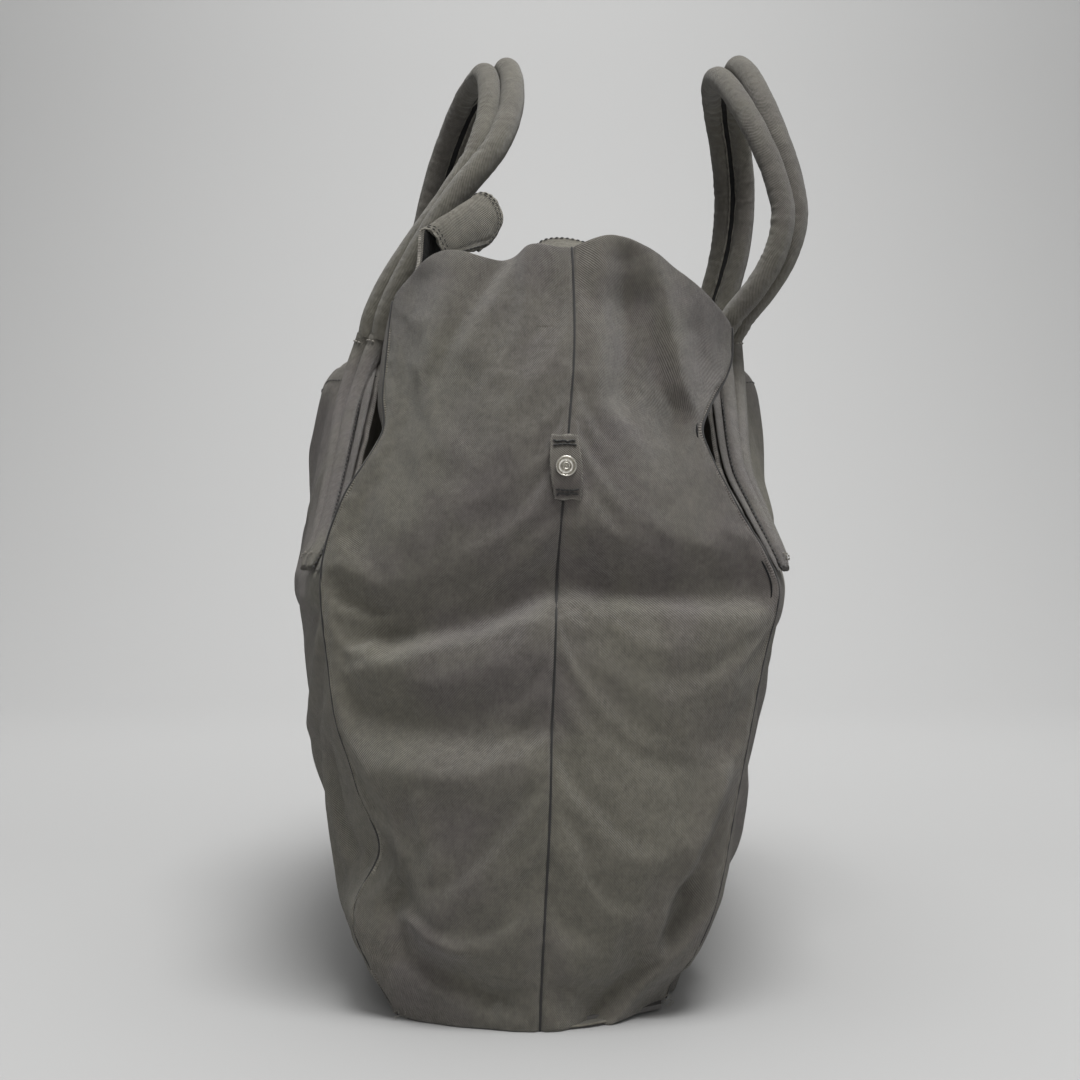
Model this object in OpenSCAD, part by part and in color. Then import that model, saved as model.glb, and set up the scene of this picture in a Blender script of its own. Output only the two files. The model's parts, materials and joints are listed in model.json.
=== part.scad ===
// Soft fabric tote bag with two handles, each made of two padded rolls, outer pockets
// on both faces, closure tabs at the mouth and a press stud tab on each end.
// X runs along the bag's length, Y from the front face to the back, Z up.
// The origin is on the floor, under the middle of the bag.

/* [Body] */
// Height of the mouth's edge above the floor
mouth_h = 410; // [400:2:420]
// Half of the bag's length at its widest, at the side seams
half_len = 215; // [195:5:235]
// Thickness of the outer fabric with its backing
fabric_t = 2; // [1.6:0.1:2.4]
// Thickness of the lining
lining_t = 0.8; // [0.6:0.1:1]

/* [Pockets] */
// Height where the strap leaves the side seam
strap_foot_h = 235; // [225:5:245]
// Height of the outer pocket's top edge
pocket_h = 366; // [362:1:368]
// Half of the distance between a handle's two legs
leg_x = 90; // [86:1:96]

/* [Handles] */
// Outside diameter of one padded roll
roll_d = 15; // [13:0.5:15.5]
// Thickness of the fabric round a roll
roll_skin = 1.2; // [1:0.1:1.6]
// Height of the line that the handles turn about
pivot_h = 374; // [372:1:376]
// Distance of that line from the middle of the bag, at the front
front_pivot = 101; // [100:0.5:104]
// Distance of that line from the middle of the bag, at the back
back_pivot = 113; // [112:0.5:115]

/* [Press studs] */
// Diameter of a stud's flange
stud_d = 11; // [9:0.5:12]
// Diameter of the stud's post
post_d = 4.2; // [3.6:0.1:4.6]
// Height of the stud tab's middle above the floor
stud_h = 292; // [285:1:300]

/* [Closure tabs] */
// Width of a closure tab
tab_w = 48; // [44:1:50]
// Thickness of a closure tab
tab_t = 2; // [1.6:0.1:2.4]

/* [Hidden] */
$fn = 48;

twill = [0.42, 0.40, 0.37];
rolled = [0.45, 0.43, 0.39];
black_cloth = [0.10, 0.10, 0.11];
nickel = [0.75, 0.74, 0.72];
cord_white = [0.85, 0.83, 0.78];
board_grey = [0.30, 0.29, 0.28];

// Half depth of the bag at the strap's foot, at the front and at the back side seams.
foot_front = 113;
foot_back = 118;
// The body by height: height, half length, half depth at the front and the back side seams,
// how far the front, the back and an end swell at their middles, and how far the end's
// centre seam strays towards the back.
body_keys = [
    [0, half_len - 8, 74, 73, 6, 6, 24, 0],
    [30, half_len - 4, 92, 88, 9, 9, 24, 1],
    [110, half_len - 1, 106, 105, 14, 14, 24, 5],
    [strap_foot_h, half_len, foot_front, foot_back, 16, 14, 22, 9],
    [310, half_len - 8, 88, 91, 9, 10, 14, 15],
    [350, half_len - 15, 86, 97, 5, 2, 12, 18],
    [mouth_h, half_len - 25, 78, 106, 8, -10, 8, 17]
];
// The mouth's edge dips towards the side seams: how far at a face's middle, and at a seam.
dip_middle = 5;
dip_seam = 32;
// The dip begins at this height.
dip_from = 250;
// How far the outer pocket swells out from its edge, by height: height, swell.
pocket_keys = [[0, 10], [30, 16], [110, 30], [strap_foot_h, 45], [303, 48], [338, 46], [pocket_h, 29]];
// The pocket lies this far outside the body along the side seams.
pocket_gap = fabric_t + 0.3;
// The depth of the pocket's edge above the strap's foot: height, at the front, at the back.
edge_keys = [[strap_foot_h, foot_front + pocket_gap, foot_back + pocket_gap], [272, 110, 115],
    [304, 106, 108], [338, 101, 103.5], [pocket_h, 97, 103]];
// How square a face is across the bag, and how square the pocket is at its top edge.
side_power = 2.5;
top_power = 1.6;
end_power = 2;
lining_z = 9;
facing_z = mouth_h - 45;
// The heights of the rows that every panel, lining and facing shares.
levels = [0, lining_z, 30, 60, 95, 130, 165, 200, strap_foot_h, 265, 290, 310, 332,
    facing_z, mouth_h - 22, mouth_h];
face_cols = 12;
end_cols = 5;

// A handle's middle line, from the leg at the bag's right end to the other one.
// The first is the front handle, which leans towards the mouth.
front_line = [
    [leg_x, -front_pivot, pivot_h + 1], [91, -97, 391], [91.5, -86, 413], [91, -69, 440],
    [88, -51, 466], [80, -34, 492], [64, -26, 518], [42, -25, 543], [12, -29, 563],
    [-22, -36, 567], [-52, -47, 560], [-72, -58, 542], [-85, -69, 516],
    [-92, -79, 482], [-93, -90, 430], [-leg_x, -front_pivot, pivot_h + 1]
];
back_line = [
    [leg_x, back_pivot, pivot_h + 1], [94, 120, 388], [97, 135, 407], [98, 146, 427],
    [97, 151, 450], [92, 147, 476], [84, 140, 500], [70, 133, 523], [46, 127, 546],
    [14, 124, 562], [-20, 125, 565], [-50, 130, 556], [-72, 137, 534],
    [-88, 142, 505], [-94, 140, 468], [-94, 131, 432], [-92, 121, 402],
    [-leg_x, back_pivot, pivot_h + 1]
];
// The way across the band, from the inner roll to the outer one, along each line.
front_across = [[-0.7, -0.7, 0.1], [-0.8, -0.6, 0.1], [-0.93, -0.35, 0.1], [-0.5, -0.85, -0.1],
    [0, -0.95, -0.3], [0.1, -1, 0], [0.2, -1, 0], [0.45, -0.9, 0], [0.7, -0.7, 0.1]];
back_across = [[-0.75, 0.65, 0.1], [-0.85, 0.5, 0], [-0.7, 0.7, 0], [-0.4, 0.9, 0.1],
    [0, 0.87, 0.5], [0.25, 0.95, 0.1], [0.35, 0.93, 0], [0.5, 0.85, 0], [0.75, 0.65, 0.1]];
roll_sides = 8;
roll_steps = 30;
// Half the distance between the middles of a band's two rolls.
roll_pitch = roll_d / 2 + 0.1;
core_d = roll_d - 2 * roll_skin - 1.1;
strap_roll_w = 12.5;
strap_roll_t = 7;
strap_steps = 9;
// The strap lies this far off the pocket, and stops this far below the handle's pivot line.
strap_lift = 0.9;
strap_gap = 19;

// ---------- sums ----------

function mix(a, b, t) = a + (b - a) * t;
function unit(v) = v / norm(v);
function segment(keys, z, i = 0) =
    i >= len(keys) - 2 || z < keys[i + 1][0] ? i : segment(keys, z, i + 1);
function slope(keys, i, c) =
    let (a = max(i - 1, 0), b = min(i + 1, len(keys) - 1))
    (keys[b][c] - keys[a][c]) / (keys[b][0] - keys[a][0]);
// Column c of a table of keys at height z, on a smooth curve through the keys.
function key_at(keys, z, c) =
    let (
        i = segment(keys, z),
        h = keys[i + 1][0] - keys[i][0],
        t = (z - keys[i][0]) / h,
        t2 = t * t,
        t3 = t2 * t
    )
    (2 * t3 - 3 * t2 + 1) * keys[i][c] + (t3 - 2 * t2 + t) * h * slope(keys, i, c)
    + (3 * t2 - 2 * t3) * keys[i + 1][c] + (t3 - t2) * h * slope(keys, i + 1, c);

// The share of the mouth's dip at height z.
function dip_share(z) =
    let (t = max(0, (z - dip_from) / (mouth_h - dip_from)))
    t * t * (3 - 2 * t);
// Half the body's depth at its side seams.
function seam_depth(z, side) = key_at(body_keys, z, side < 0 ? 2 : 3);
// A point of the body's face, s from -1 to 1 along it, d below the outer surface.
function face_point(s, z, d, side) = [
    s * (key_at(body_keys, z, 1) - d),
    side * (seam_depth(z, side) - d
        + key_at(body_keys, z, side < 0 ? 4 : 5) * (1 - pow(abs(s), side_power))),
    z - dip_share(z) * mix(dip_seam, dip_middle, pow(1 - abs(s), 3))
];
// A point of the body's end, s from -1 to 1 across it, d below the outer surface.
function end_point(s, z, d, side) = [
    side * (key_at(body_keys, z, 1) - d
        + key_at(body_keys, z, 6) * (1 - pow(abs(s), end_power))),
    s * (seam_depth(z, s) - d),
    z - dip_share(z) * dip_seam * pow(abs(s), 4)
];
// Where the end's centre seam runs, as a share of the half depth.
function seam_share(z) = key_at(body_keys, z, 7) / seam_depth(z, 1);
// The pocket is as wide as the body up to the strap's foot, and narrows above it.
function pocket_half(z) = z <= strap_foot_h ? key_at(body_keys, z, 1)
    : mix(half_len, leg_x, (z - strap_foot_h) / (pocket_h - strap_foot_h));
function pocket_edge(z, side) = z <= strap_foot_h ? seam_depth(z, side) + pocket_gap
    : key_at(edge_keys, z, side < 0 ? 1 : 2);
function pocket_power(z) = z <= strap_foot_h ? side_power
    : mix(side_power, top_power, (z - strap_foot_h) / (pocket_h - strap_foot_h));
function pocket_point(s, z, d, side) = [
    s * pocket_half(z),
    side * (pocket_edge(z, side) - d
        + key_at(pocket_keys, z, 1) * (1 - pow(abs(s), pocket_power(z)))),
    z
];

// Catmull-Rom through a list of points, u from 0 to 1 over the whole list.
function spline(points, u) =
    let (
        n = len(points) - 1,
        i = min(floor(u * n), n - 1),
        t = u * n - i,
        p0 = points[max(i - 1, 0)],
        p1 = points[i],
        p2 = points[i + 1],
        p3 = points[min(i + 2, n)]
    )
    0.5 * (2 * p1 + (p2 - p0) * t + (2 * p0 - 5 * p1 + 4 * p2 - p3) * t * t
        + (3 * p1 - p0 - 3 * p2 + p3) * t * t * t);

// ---------- solids from points ----------

function grid(points_w, points_h, a, b) =
    [a * points_w + b, a * points_w + b + 1, (a + 1) * points_w + b + 1, (a + 1) * points_w + b];
function offset_face(face, by) = [for (i = face) i + by];
function flipped(face) = [for (i = [len(face) - 1:-1:0]) face[i]];
function halves(quad) = [[quad[0], quad[1], quad[2]], [quad[0], quad[2], quad[3]]];

// A closed sheet between two grids of points with equal rows and columns.
// turned swaps the way round of its faces.
module sheet(outer, inner, turned) {
    h = len(outer);
    w = len(outer[0]);
    n = h * w;
    points = [for (row = outer) for (p = row) p, for (row = inner) for (p = row) p];
    front = [for (a = [0:h - 2]) for (b = [0:w - 2]) grid(w, h, a, b)];
    back = [for (f = front) flipped(offset_face(f, n))];
    low = [for (b = [0:w - 2]) [b + n, b + 1 + n, b + 1, b]];
    high = [for (b = [0:w - 2]) let (k = (h - 1) * w) [k + b, k + b + 1, k + b + 1 + n, k + b + n]];
    first = [for (a = [0:h - 2]) [a * w, (a + 1) * w, (a + 1) * w + n, a * w + n]];
    last = [for (a = [0:h - 2]) let (k = w - 1)
        [a * w + k + n, (a + 1) * w + k + n, (a + 1) * w + k, a * w + k]];
    quads = concat(front, back, low, high, first, last);
    tris = [for (q = quads) for (t = halves(q)) turned ? flipped(t) : t];
    polyhedron(points, tris);
}

function levels_between(z0, z1) = [for (z = levels) if (z >= z0 && z <= z1) z];
// Columns lie closer together towards the edges, where a face curves most.
function face_steps(n) = [for (i = [0:n]) sin(mix(-90, 90, i / n))];
function even_steps(n, a, b) = [for (i = [0:n]) mix(a, b, i / n)];
// Across an end from its front edge to the centre seam, and on to its back edge.
function end_steps(z, from, to) = [for (i = [from:to])
    i <= end_cols ? mix(-1, seam_share(z), i / end_cols)
        : mix(seam_share(z), 1, (i - end_cols) / end_cols)];

module face_sheet(side, z0, z1, d0, d1) {
    steps = face_steps(face_cols);
    heights = levels_between(z0, z1);
    outer = [for (z = heights) [for (s = steps) face_point(s, z, d0, side)]];
    inner = [for (z = heights) [for (s = steps) face_point(s, z, d1, side)]];
    sheet(outer, inner, side < 0);
}

module end_sheet(side, from, to, z0, z1, d0, d1) {
    heights = levels_between(z0, z1);
    outer = [for (z = heights) [for (s = end_steps(z, from, to)) end_point(s, z, d0, side)]];
    inner = [for (z = heights) [for (s = end_steps(z, from, to)) end_point(s, z, d1, side)]];
    sheet(outer, inner, side > 0);
}

// A closed tube or rod through rings of points. Each ring has the same number of points.
module rod(rings) {
    k = len(rings[0]);
    n = len(rings);
    walls = [for (a = [0:n - 2]) for (b = [0:k - 1])
        [a * k + b, a * k + (b + 1) % k, (a + 1) * k + (b + 1) % k, (a + 1) * k + b]];
    first = [for (b = [k - 1:-1:0]) b];
    last = [for (b = [0:k - 1]) (n - 1) * k + b];
    polyhedron(
        [for (r = rings) for (p = r) p],
        concat([for (q = walls) for (t = halves(q)) flipped(t)], [flipped(first), flipped(last)])
    );
}

module hollow_rod(outer, inner) {
    k = len(outer[0]);
    n = len(outer);
    m = n * k;
    wall = [for (a = [0:n - 2]) for (b = [0:k - 1])
        [a * k + b, a * k + (b + 1) % k, (a + 1) * k + (b + 1) % k, (a + 1) * k + b]];
    bore = [for (q = wall) flipped(offset_face(q, m))];
    first = [for (b = [0:k - 1]) [b, b + m, (b + 1) % k + m, (b + 1) % k]];
    last = [for (b = [0:k - 1]) let (e = (n - 1) * k)
        [e + (b + 1) % k, e + (b + 1) % k + m, e + b + m, e + b]];
    quads = concat(wall, bore, first, last);
    polyhedron(
        [for (r = outer) for (p = r) p, for (r = inner) for (p = r) p],
        [for (q = quads) for (t = halves(q)) flipped(t)]
    );
}

// A ring of points round a line at u, moved sideways along way, w wide and t thick.
function ring(line, way, u, shift, w, t) =
    let (
        here = spline(line, u),
        ahead = unit(spline(line, min(u + 0.01, 1)) - spline(line, max(u - 0.01, 0))),
        wide = unit(way - (way * ahead) * ahead),
        deep = cross(ahead, wide)
    )
    [for (j = [0:roll_sides - 1]) let (a = 360 * (j + 0.5) / roll_sides)
        here + wide * (shift + w / 2 * cos(a)) + deep * (t / 2 * sin(a))];

function roll_rings(line, across, shift, d) =
    [for (i = [0:roll_steps]) let (u = i / roll_steps) ring(line, spline(across, u), u, shift, d, d)];

// ---------- body ----------

module floor_outline(d) {
    steps = face_steps(face_cols);
    half = even_steps(2 * end_cols, -1, 1);
    function flat(p) = [p[0], p[1]];
    front = [for (s = steps) flat(face_point(s, 0, d, -1))];
    right = [for (s = half) flat(end_point(s, 0, d, 1))];
    back = [for (s = steps) flat(face_point(-s, 0, d, 1))];
    left = [for (s = half) flat(end_point(-s, 0, d, -1))];
    polygon(concat(front, right, back, left));
}

board_t = 2.5;
// How far each layer of the base stays inside the body's outline.
panel_inset = fabric_t + 0.2;
board_inset = fabric_t + 6;
base_lining_inset = fabric_t + 4;

module base_panel() {
    color(twill) linear_extrude(fabric_t) floor_outline(panel_inset);
}

module base_board() {
    color(board_grey) translate([0, 0, fabric_t]) linear_extrude(board_t)
        floor_outline(board_inset);
}

module base_lining() {
    color(black_cloth) translate([0, 0, fabric_t + board_t]) linear_extrude(lining_t)
        floor_outline(base_lining_inset);
}

module body_panel(side) {
    color(twill) face_sheet(side, 0, mouth_h, 0, fabric_t);
}

module end_half(side, from, to) {
    color(twill) end_sheet(side, from, to, 0, mouth_h, 0, fabric_t);
}

// Where the layers inside the outer fabric begin, and how thick the facing is.
layer_d = fabric_t + 0.9;
facing_t = 1.8;

module facing(side) {
    color(twill) face_sheet(side, facing_z, mouth_h, layer_d, layer_d + facing_t);
}

module end_facing(side) {
    color(twill) end_sheet(side, 0, 2 * end_cols, facing_z, mouth_h, layer_d, layer_d + facing_t);
}

module face_lining(side) {
    color(black_cloth) face_sheet(side, lining_z, facing_z, layer_d, layer_d + lining_t);
}

module end_lining(side) {
    color(black_cloth)
        end_sheet(side, 0, 2 * end_cols, lining_z, facing_z, layer_d, layer_d + lining_t);
}

module pocket_panel(side) {
    steps = face_steps(face_cols);
    heights = concat(levels_between(0, pocket_h - 8), [pocket_h]);
    outer = [for (z = heights) [for (s = steps) pocket_point(s, z, 0, side)]];
    inner = [for (z = heights) [for (s = steps) pocket_point(s, z, fabric_t, side)]];
    color(twill) sheet(outer, inner, side < 0);
}

// ---------- straps and handles ----------

// How far a strap's first roll lies back from the pocket's edge, and how far the second
// lies behind the first.
strap_back = 8.5;
strap_pitch = 17;
// The strap begins this far above the side seam's foot.
strap_start = 4;

// A point on the pocket's slanted edge, u from 0 at the side seam to 1 near the handle,
// moved back from the edge.
function strap_point(u, side, end, back_by) =
    let (
        z = mix(strap_foot_h + strap_start, pivot_h - strap_gap, u),
        p = pocket_point(1 - back_by / pocket_half(z), z, 0, side)
    )
    [end * p[0], p[1], z];

module strap(side, end) {
    color(rolled) for (roll = [0, 1]) {
        back_by = strap_back + roll * strap_pitch;
        places = [for (i = [0:strap_steps]) i / strap_steps];
        ways = [for (u = places)
            strap_point(u, side, end, back_by + 3) - strap_point(u, side, end, back_by - 3)];
        line = [for (i = [0:strap_steps]) let (
            here = strap_point(places[i], side, end, back_by),
            along = strap_point(places[i] + 0.02, side, end, back_by) - here,
            normal = unit(cross(along, ways[i])),
            out = normal * (normal[1] * side > 0 ? 1 : -1)
        ) here + out * (strap_roll_t / 2 + strap_lift)];
        rod([for (i = [0:strap_steps])
            ring(line, ways[i], places[i], 0, strap_roll_w, strap_roll_t)]);
    }
}

module handle_roll(line, across, shift) {
    color(rolled) hollow_rod(
        roll_rings(line, across, shift, roll_d),
        roll_rings(line, across, shift, roll_d - 2 * roll_skin)
    );
}

module handle_core(line, across, shift) {
    color(cord_white) rod(roll_rings(line, across, shift, core_d));
}

// ---------- press studs and their tabs ----------

tab_len = 33;
tab_wide = 15;
stud_lift = 3.4;
// The tab's underside and top at its sewn ends, off the seam.
stud_tab_low = 0.5;
stud_tab_high = 1.6;
flange_t = 0.7;
post_h = 1.9;

// Places a child on an end's seam, with its Z along the bag's outward X.
module on_end(side) {
    at = seam_share(stud_h);
    outer = end_point(at, stud_h, 0, 1);
    below = end_point(at, stud_h - tab_len / 2, 0, 1);
    above = end_point(at, stud_h + tab_len / 2, 0, 1);
    lean = atan2(below[0] - above[0], tab_len);
    mirror([side < 0 ? 1 : 0, 0, 0])
        translate(outer) rotate([0, 90 - lean, 0]) children();
}

// The tab bows away from the seam between its two sewn ends.
module stud_tab(side) {
    bow = stud_lift;
    steps = [for (i = [-8:8]) i / 8];
    top = [for (t = steps) [t * tab_len / 2, stud_tab_high + bow * (1 - t * t)]];
    under = [for (i = [8:-1:-8]) let (t = i / 8) [t * tab_len / 2, stud_tab_low + bow * (1 - t * t)]];
    color(twill) on_end(side) difference() {
        translate([0, tab_wide / 2, 0]) rotate([90, 0, 0]) linear_extrude(tab_wide)
            polygon(concat(top, under));
        cylinder(d = post_d + 0.4, h = 12, center = true);
    }
}

module stud(side) {
    base = stud_tab_high + stud_lift + 0.05;
    bore_d = 1.6;
    color(nickel) on_end(side) {
        difference() {
            union() {
                translate([0, 0, base]) cylinder(d = stud_d, h = flange_t);
                translate([0, 0, base - stud_tab_high])
                    cylinder(d = post_d, h = stud_tab_high + flange_t + post_h);
            }
            translate([0, 0, base + flange_t + post_h - 1]) cylinder(d = bore_d, h = 2);
        }
        translate([0, 0, base + flange_t]) rotate_extrude()
            translate([stud_d / 2 - 1, 0]) circle(d = 1);
    }
}

module stud_backing(side) {
    base = stud_tab_low + stud_lift;
    color(nickel) on_end(side) translate([0, 0, base - 0.75]) difference() {
        cylinder(d = stud_d - 2, h = 0.5);
        translate([0, 0, -1]) cylinder(d = post_d + 0.1, h = 3);
    }
}

// ---------- closure tabs ----------

// A pair of tabs stands on the mouth's edge near each end, outside the handles' legs.
tab_near = 166;
tab_far = tab_near - tab_w;
tab_foot_h = mouth_h - dip_seam + 4;
front_foot = 77.5;
back_foot = 100;
// Each tab by its two side edges, from the sewn foot, up and over to its free end.
front_tab_edges = [
    [[tab_near, -front_foot, tab_foot_h], [163, -66, 398], [158, -59, 412], [153, -61, 423],
        [150, -61.5, 430], [148, -57, 429], [147, -53.5, 422], [147, -52, 411]],
    [[tab_far, -front_foot, tab_foot_h], [117, -67, 404], [114, -57, 428], [112, -46, 449],
        [111, -36, 459], [112, -26, 454], [115, -22.5, 440], [118, -25, 425]]
];
back_tab_edges = [
    [[tab_near, back_foot, tab_foot_h], [165, 98, 396], [160, 82, 410], [152, 52, 420],
        [146, 24, 426], [142, 6, 427], [140, -6, 422]],
    [[tab_far, back_foot, tab_foot_h], [118, 97, 400], [116, 78, 414], [112, 48, 423],
        [109, 22, 428], [108, 4, 429], [108, -5, 424]]
];
tab_rows = 24;
tab_cols = 4;
snap_d = 14;
snap_t = 1.4;
snap_rim = 0.8;
// The socket stands a little further off its curved tab.
socket_rim = 1.8;
snap_at = 0.16;

// A point on a tab, u from 0 at its foot to 1 at its free end, v from 0 to 1 across it.
function tab_point(edges, u, v) = mix(spline(edges[0], u), spline(edges[1], u), v);
function tab_normal(edges, u, v) =
    let (
        up = tab_point(edges, min(u + 0.02, 1), v) - tab_point(edges, max(u - 0.02, 0), v),
        over = tab_point(edges, u, 1) - tab_point(edges, u, 0)
    )
    unit(cross(over, up));

module closure_tab(edges) {
    function layer(by) = [for (i = [0:tab_rows]) [for (j = [0:tab_cols])
        let (u = i / tab_rows, v = j / tab_cols)
        tab_point(edges, u, v) + tab_normal(edges, u, v) * by]];
    color(twill) sheet(layer(tab_t / 2), layer(-tab_t / 2), false);
}

// Places a child on the upright part of a tab, with its Z towards the bag's middle.
module on_tab(edges, side) {
    n = tab_normal(edges, snap_at, 0.5) * -side * (tab_normal(edges, snap_at, 0.5)[1] > 0 ? 1 : -1);
    translate(tab_point(edges, snap_at, 0.5)) rotate([0, acos(n[2]), atan2(n[1], n[0])]) children();
}

snap_post_d = 3;
snap_back_t = 0.8;

module snap_stud() {
    color(nickel) on_tab(front_tab_edges, -1) {
        translate([0, 0, tab_t / 2 + snap_rim]) cylinder(d = snap_d, h = snap_t);
        translate([0, 0, -tab_t / 2]) cylinder(d = snap_post_d, h = tab_t + snap_t + 2.4);
    }
}

module snap_backing() {
    color(nickel) on_tab(front_tab_edges, -1)
        translate([0, 0, -tab_t / 2 - snap_rim - snap_back_t])
            cylinder(d = snap_d - 3, h = snap_back_t);
}

module snap_socket() {
    color(nickel) on_tab(back_tab_edges, 1) difference() {
        translate([0, 0, tab_t / 2 + socket_rim]) cylinder(d = snap_d, h = snap_t + 1);
        translate([0, 0, tab_t / 2 + 1]) cylinder(d = 6, h = 4);
    }
}

module snap_cap() {
    color(nickel) on_tab(back_tab_edges, 1) {
        translate([0, 0, -tab_t / 2 - snap_rim - snap_back_t])
            cylinder(d = snap_d - 3, h = snap_back_t);
        translate([0, 0, -tab_t / 2 - snap_rim])
            cylinder(d = snap_post_d, h = tab_t + snap_rim + socket_rim);
    }
}

// Turns a part of the right end's tabs into the left end's.
module at_end(end) {
    mirror([end < 0 ? 1 : 0, 0, 0]) children();
}

base_panel();
base_board();
body_panel(-1);  // front_body_panel
body_panel(1);  // back_body_panel
end_half(1, 0, end_cols);  // right_end_front_half
end_half(1, end_cols, 2 * end_cols);  // right_end_back_half
end_half(-1, 0, end_cols);  // left_end_front_half
end_half(-1, end_cols, 2 * end_cols);  // left_end_back_half
pocket_panel(-1);  // front_pocket_panel
pocket_panel(1);  // back_pocket_panel
strap(-1, 1);  // front_right_strap
strap(-1, -1);  // front_left_strap
strap(1, 1);  // back_right_strap
strap(1, -1);  // back_left_strap
handle_roll(front_line, front_across, roll_pitch);  // front_handle_outer_roll
handle_roll(front_line, front_across, -roll_pitch);  // front_handle_inner_roll
handle_core(front_line, front_across, roll_pitch);  // front_handle_outer_core
handle_core(front_line, front_across, -roll_pitch);  // front_handle_inner_core
handle_roll(back_line, back_across, roll_pitch);  // back_handle_outer_roll
handle_roll(back_line, back_across, -roll_pitch);  // back_handle_inner_roll
handle_core(back_line, back_across, roll_pitch);  // back_handle_outer_core
handle_core(back_line, back_across, -roll_pitch);  // back_handle_inner_core
facing(-1);  // front_facing
facing(1);  // back_facing
end_facing(1);  // right_end_facing
end_facing(-1);  // left_end_facing
face_lining(-1);  // front_lining
face_lining(1);  // back_lining
end_lining(1);  // right_end_lining
end_lining(-1);  // left_end_lining
base_lining();
stud_tab(1);  // right_stud_tab
stud_tab(-1);  // left_stud_tab
stud(1);  // right_stud
stud(-1);  // left_stud
stud_backing(1);  // right_stud_backing
stud_backing(-1);  // left_stud_backing
at_end(1) closure_tab(front_tab_edges);  // front_right_tab
at_end(-1) closure_tab(front_tab_edges);  // front_left_tab
at_end(1) closure_tab(back_tab_edges);  // back_right_tab
at_end(-1) closure_tab(back_tab_edges);  // back_left_tab
at_end(1) snap_stud();  // right_snap_stud
at_end(-1) snap_stud();  // left_snap_stud
at_end(1) snap_backing();  // right_snap_backing
at_end(-1) snap_backing();  // left_snap_backing
at_end(1) snap_socket();  // right_snap_socket
at_end(-1) snap_socket();  // left_snap_socket
at_end(1) snap_cap();  // right_snap_cap
at_end(-1) snap_cap();  // left_snap_cap
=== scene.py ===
"""Looks of the tote bag: its cloth panels, padded handles, tabs, stitches and studs.

Lengths are in millimetres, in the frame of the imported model, and become metres as a mesh is made.
Every panel is a grid of points: rows run up the bag, columns run along it.
"""

import json
import math

import bpy
import numpy as np
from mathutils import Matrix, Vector, noise


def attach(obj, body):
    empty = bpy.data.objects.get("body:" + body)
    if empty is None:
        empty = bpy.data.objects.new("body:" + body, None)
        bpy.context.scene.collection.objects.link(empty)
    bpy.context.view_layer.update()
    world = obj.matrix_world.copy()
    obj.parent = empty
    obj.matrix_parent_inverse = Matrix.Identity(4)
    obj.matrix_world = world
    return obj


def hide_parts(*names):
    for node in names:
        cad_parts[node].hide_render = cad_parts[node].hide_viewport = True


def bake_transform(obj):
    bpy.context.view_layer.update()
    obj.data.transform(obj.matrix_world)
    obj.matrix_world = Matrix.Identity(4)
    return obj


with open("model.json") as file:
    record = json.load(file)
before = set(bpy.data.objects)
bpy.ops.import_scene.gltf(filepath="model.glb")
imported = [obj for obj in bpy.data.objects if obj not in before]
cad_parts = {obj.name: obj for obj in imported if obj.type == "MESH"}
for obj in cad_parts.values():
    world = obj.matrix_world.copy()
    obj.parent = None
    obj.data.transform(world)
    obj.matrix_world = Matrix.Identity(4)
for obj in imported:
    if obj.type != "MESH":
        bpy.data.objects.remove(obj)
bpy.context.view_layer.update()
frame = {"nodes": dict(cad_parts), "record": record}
MM = 0.001

# ---------- driving sizes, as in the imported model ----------

MOUTH_H = 410
HALF_LEN = 215
FOOT_H = 235
POCKET_H = 366
LEG_X = 90
FRONT_PIVOT = 101
BACK_PIVOT = 113
PIVOT_H = 374
FACING_H = MOUTH_H - 45
LINING_H = 9
DIP_SEAM = 32
DIP_MIDDLE = 5
DIP_FROM = 250
WAVE_FROM = 330
TOP_EDGE_FROM = 300
TOP_EDGE_RISE = 90
SIDE_POWER = 2.5
CLOTH_T = 2.0

# Height, half length, swell of the front, of the back and of an end, centre seam's way to the back.
BODY_KEYS = np.array([
    [0, HALF_LEN - 8, 6, 6, 24, 0],
    [30, HALF_LEN - 4, 9, 9, 25, 1],
    [110, HALF_LEN - 1, 14, 14, 27, 5],
    [150, HALF_LEN, 14, 14, 25, 6],
    [190, HALF_LEN, 14, 13, 19, 7.5],
    [229, HALF_LEN, 14, 12, 11, 8.8],
    [255, HALF_LEN - 2, 12, 10, 15, 10.5],
    [285, HALF_LEN - 5, 9, 8, 19, 13],
    [310, HALF_LEN - 8, 6, 6, 19, 15],
    [350, HALF_LEN - 15, 3, 0, 17, 18],
    [385, HALF_LEN - 21, 1, 0, 12, 18],
    [MOUTH_H, HALF_LEN - 25, 0, 0, 9, 17],
], float)
# How far the side seams lie from the middle: height, distance, at the front and at the back.
FRONT_SEAM = np.array([[0, 76], [30, 92], [53, 101], [110, 106], [169, 110], [FOOT_H, 115.5],
                       [274, 105.5], [311, 84.5], [330, 85], [352, 83.5], [381, 81],
                       [MOUTH_H, 78]], float)
BACK_SEAM = np.array([[0, 71], [8, 73], [37, 84.5], [63, 94], [116, 104], [153, 111], [190, 118],
                      [226, 126], [245, 120], [269, 106], [310, 87.5], [322, 91], [333, 97],
                      [341, 102], [352, 106], [371, 106.5], [MOUTH_H, 107]], float)
# How far out the mouth's edge lies on a face: share of the way to a side seam, distance.
FRONT_TOP = np.array([[0, 80], [0.25, 84], [0.45, 88], [0.7, 87], [1, 80]], float)
BACK_TOP = np.array([[0, 92], [0.25, 94], [0.45, 98], [0.7, 102], [1, 107]], float)
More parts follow.
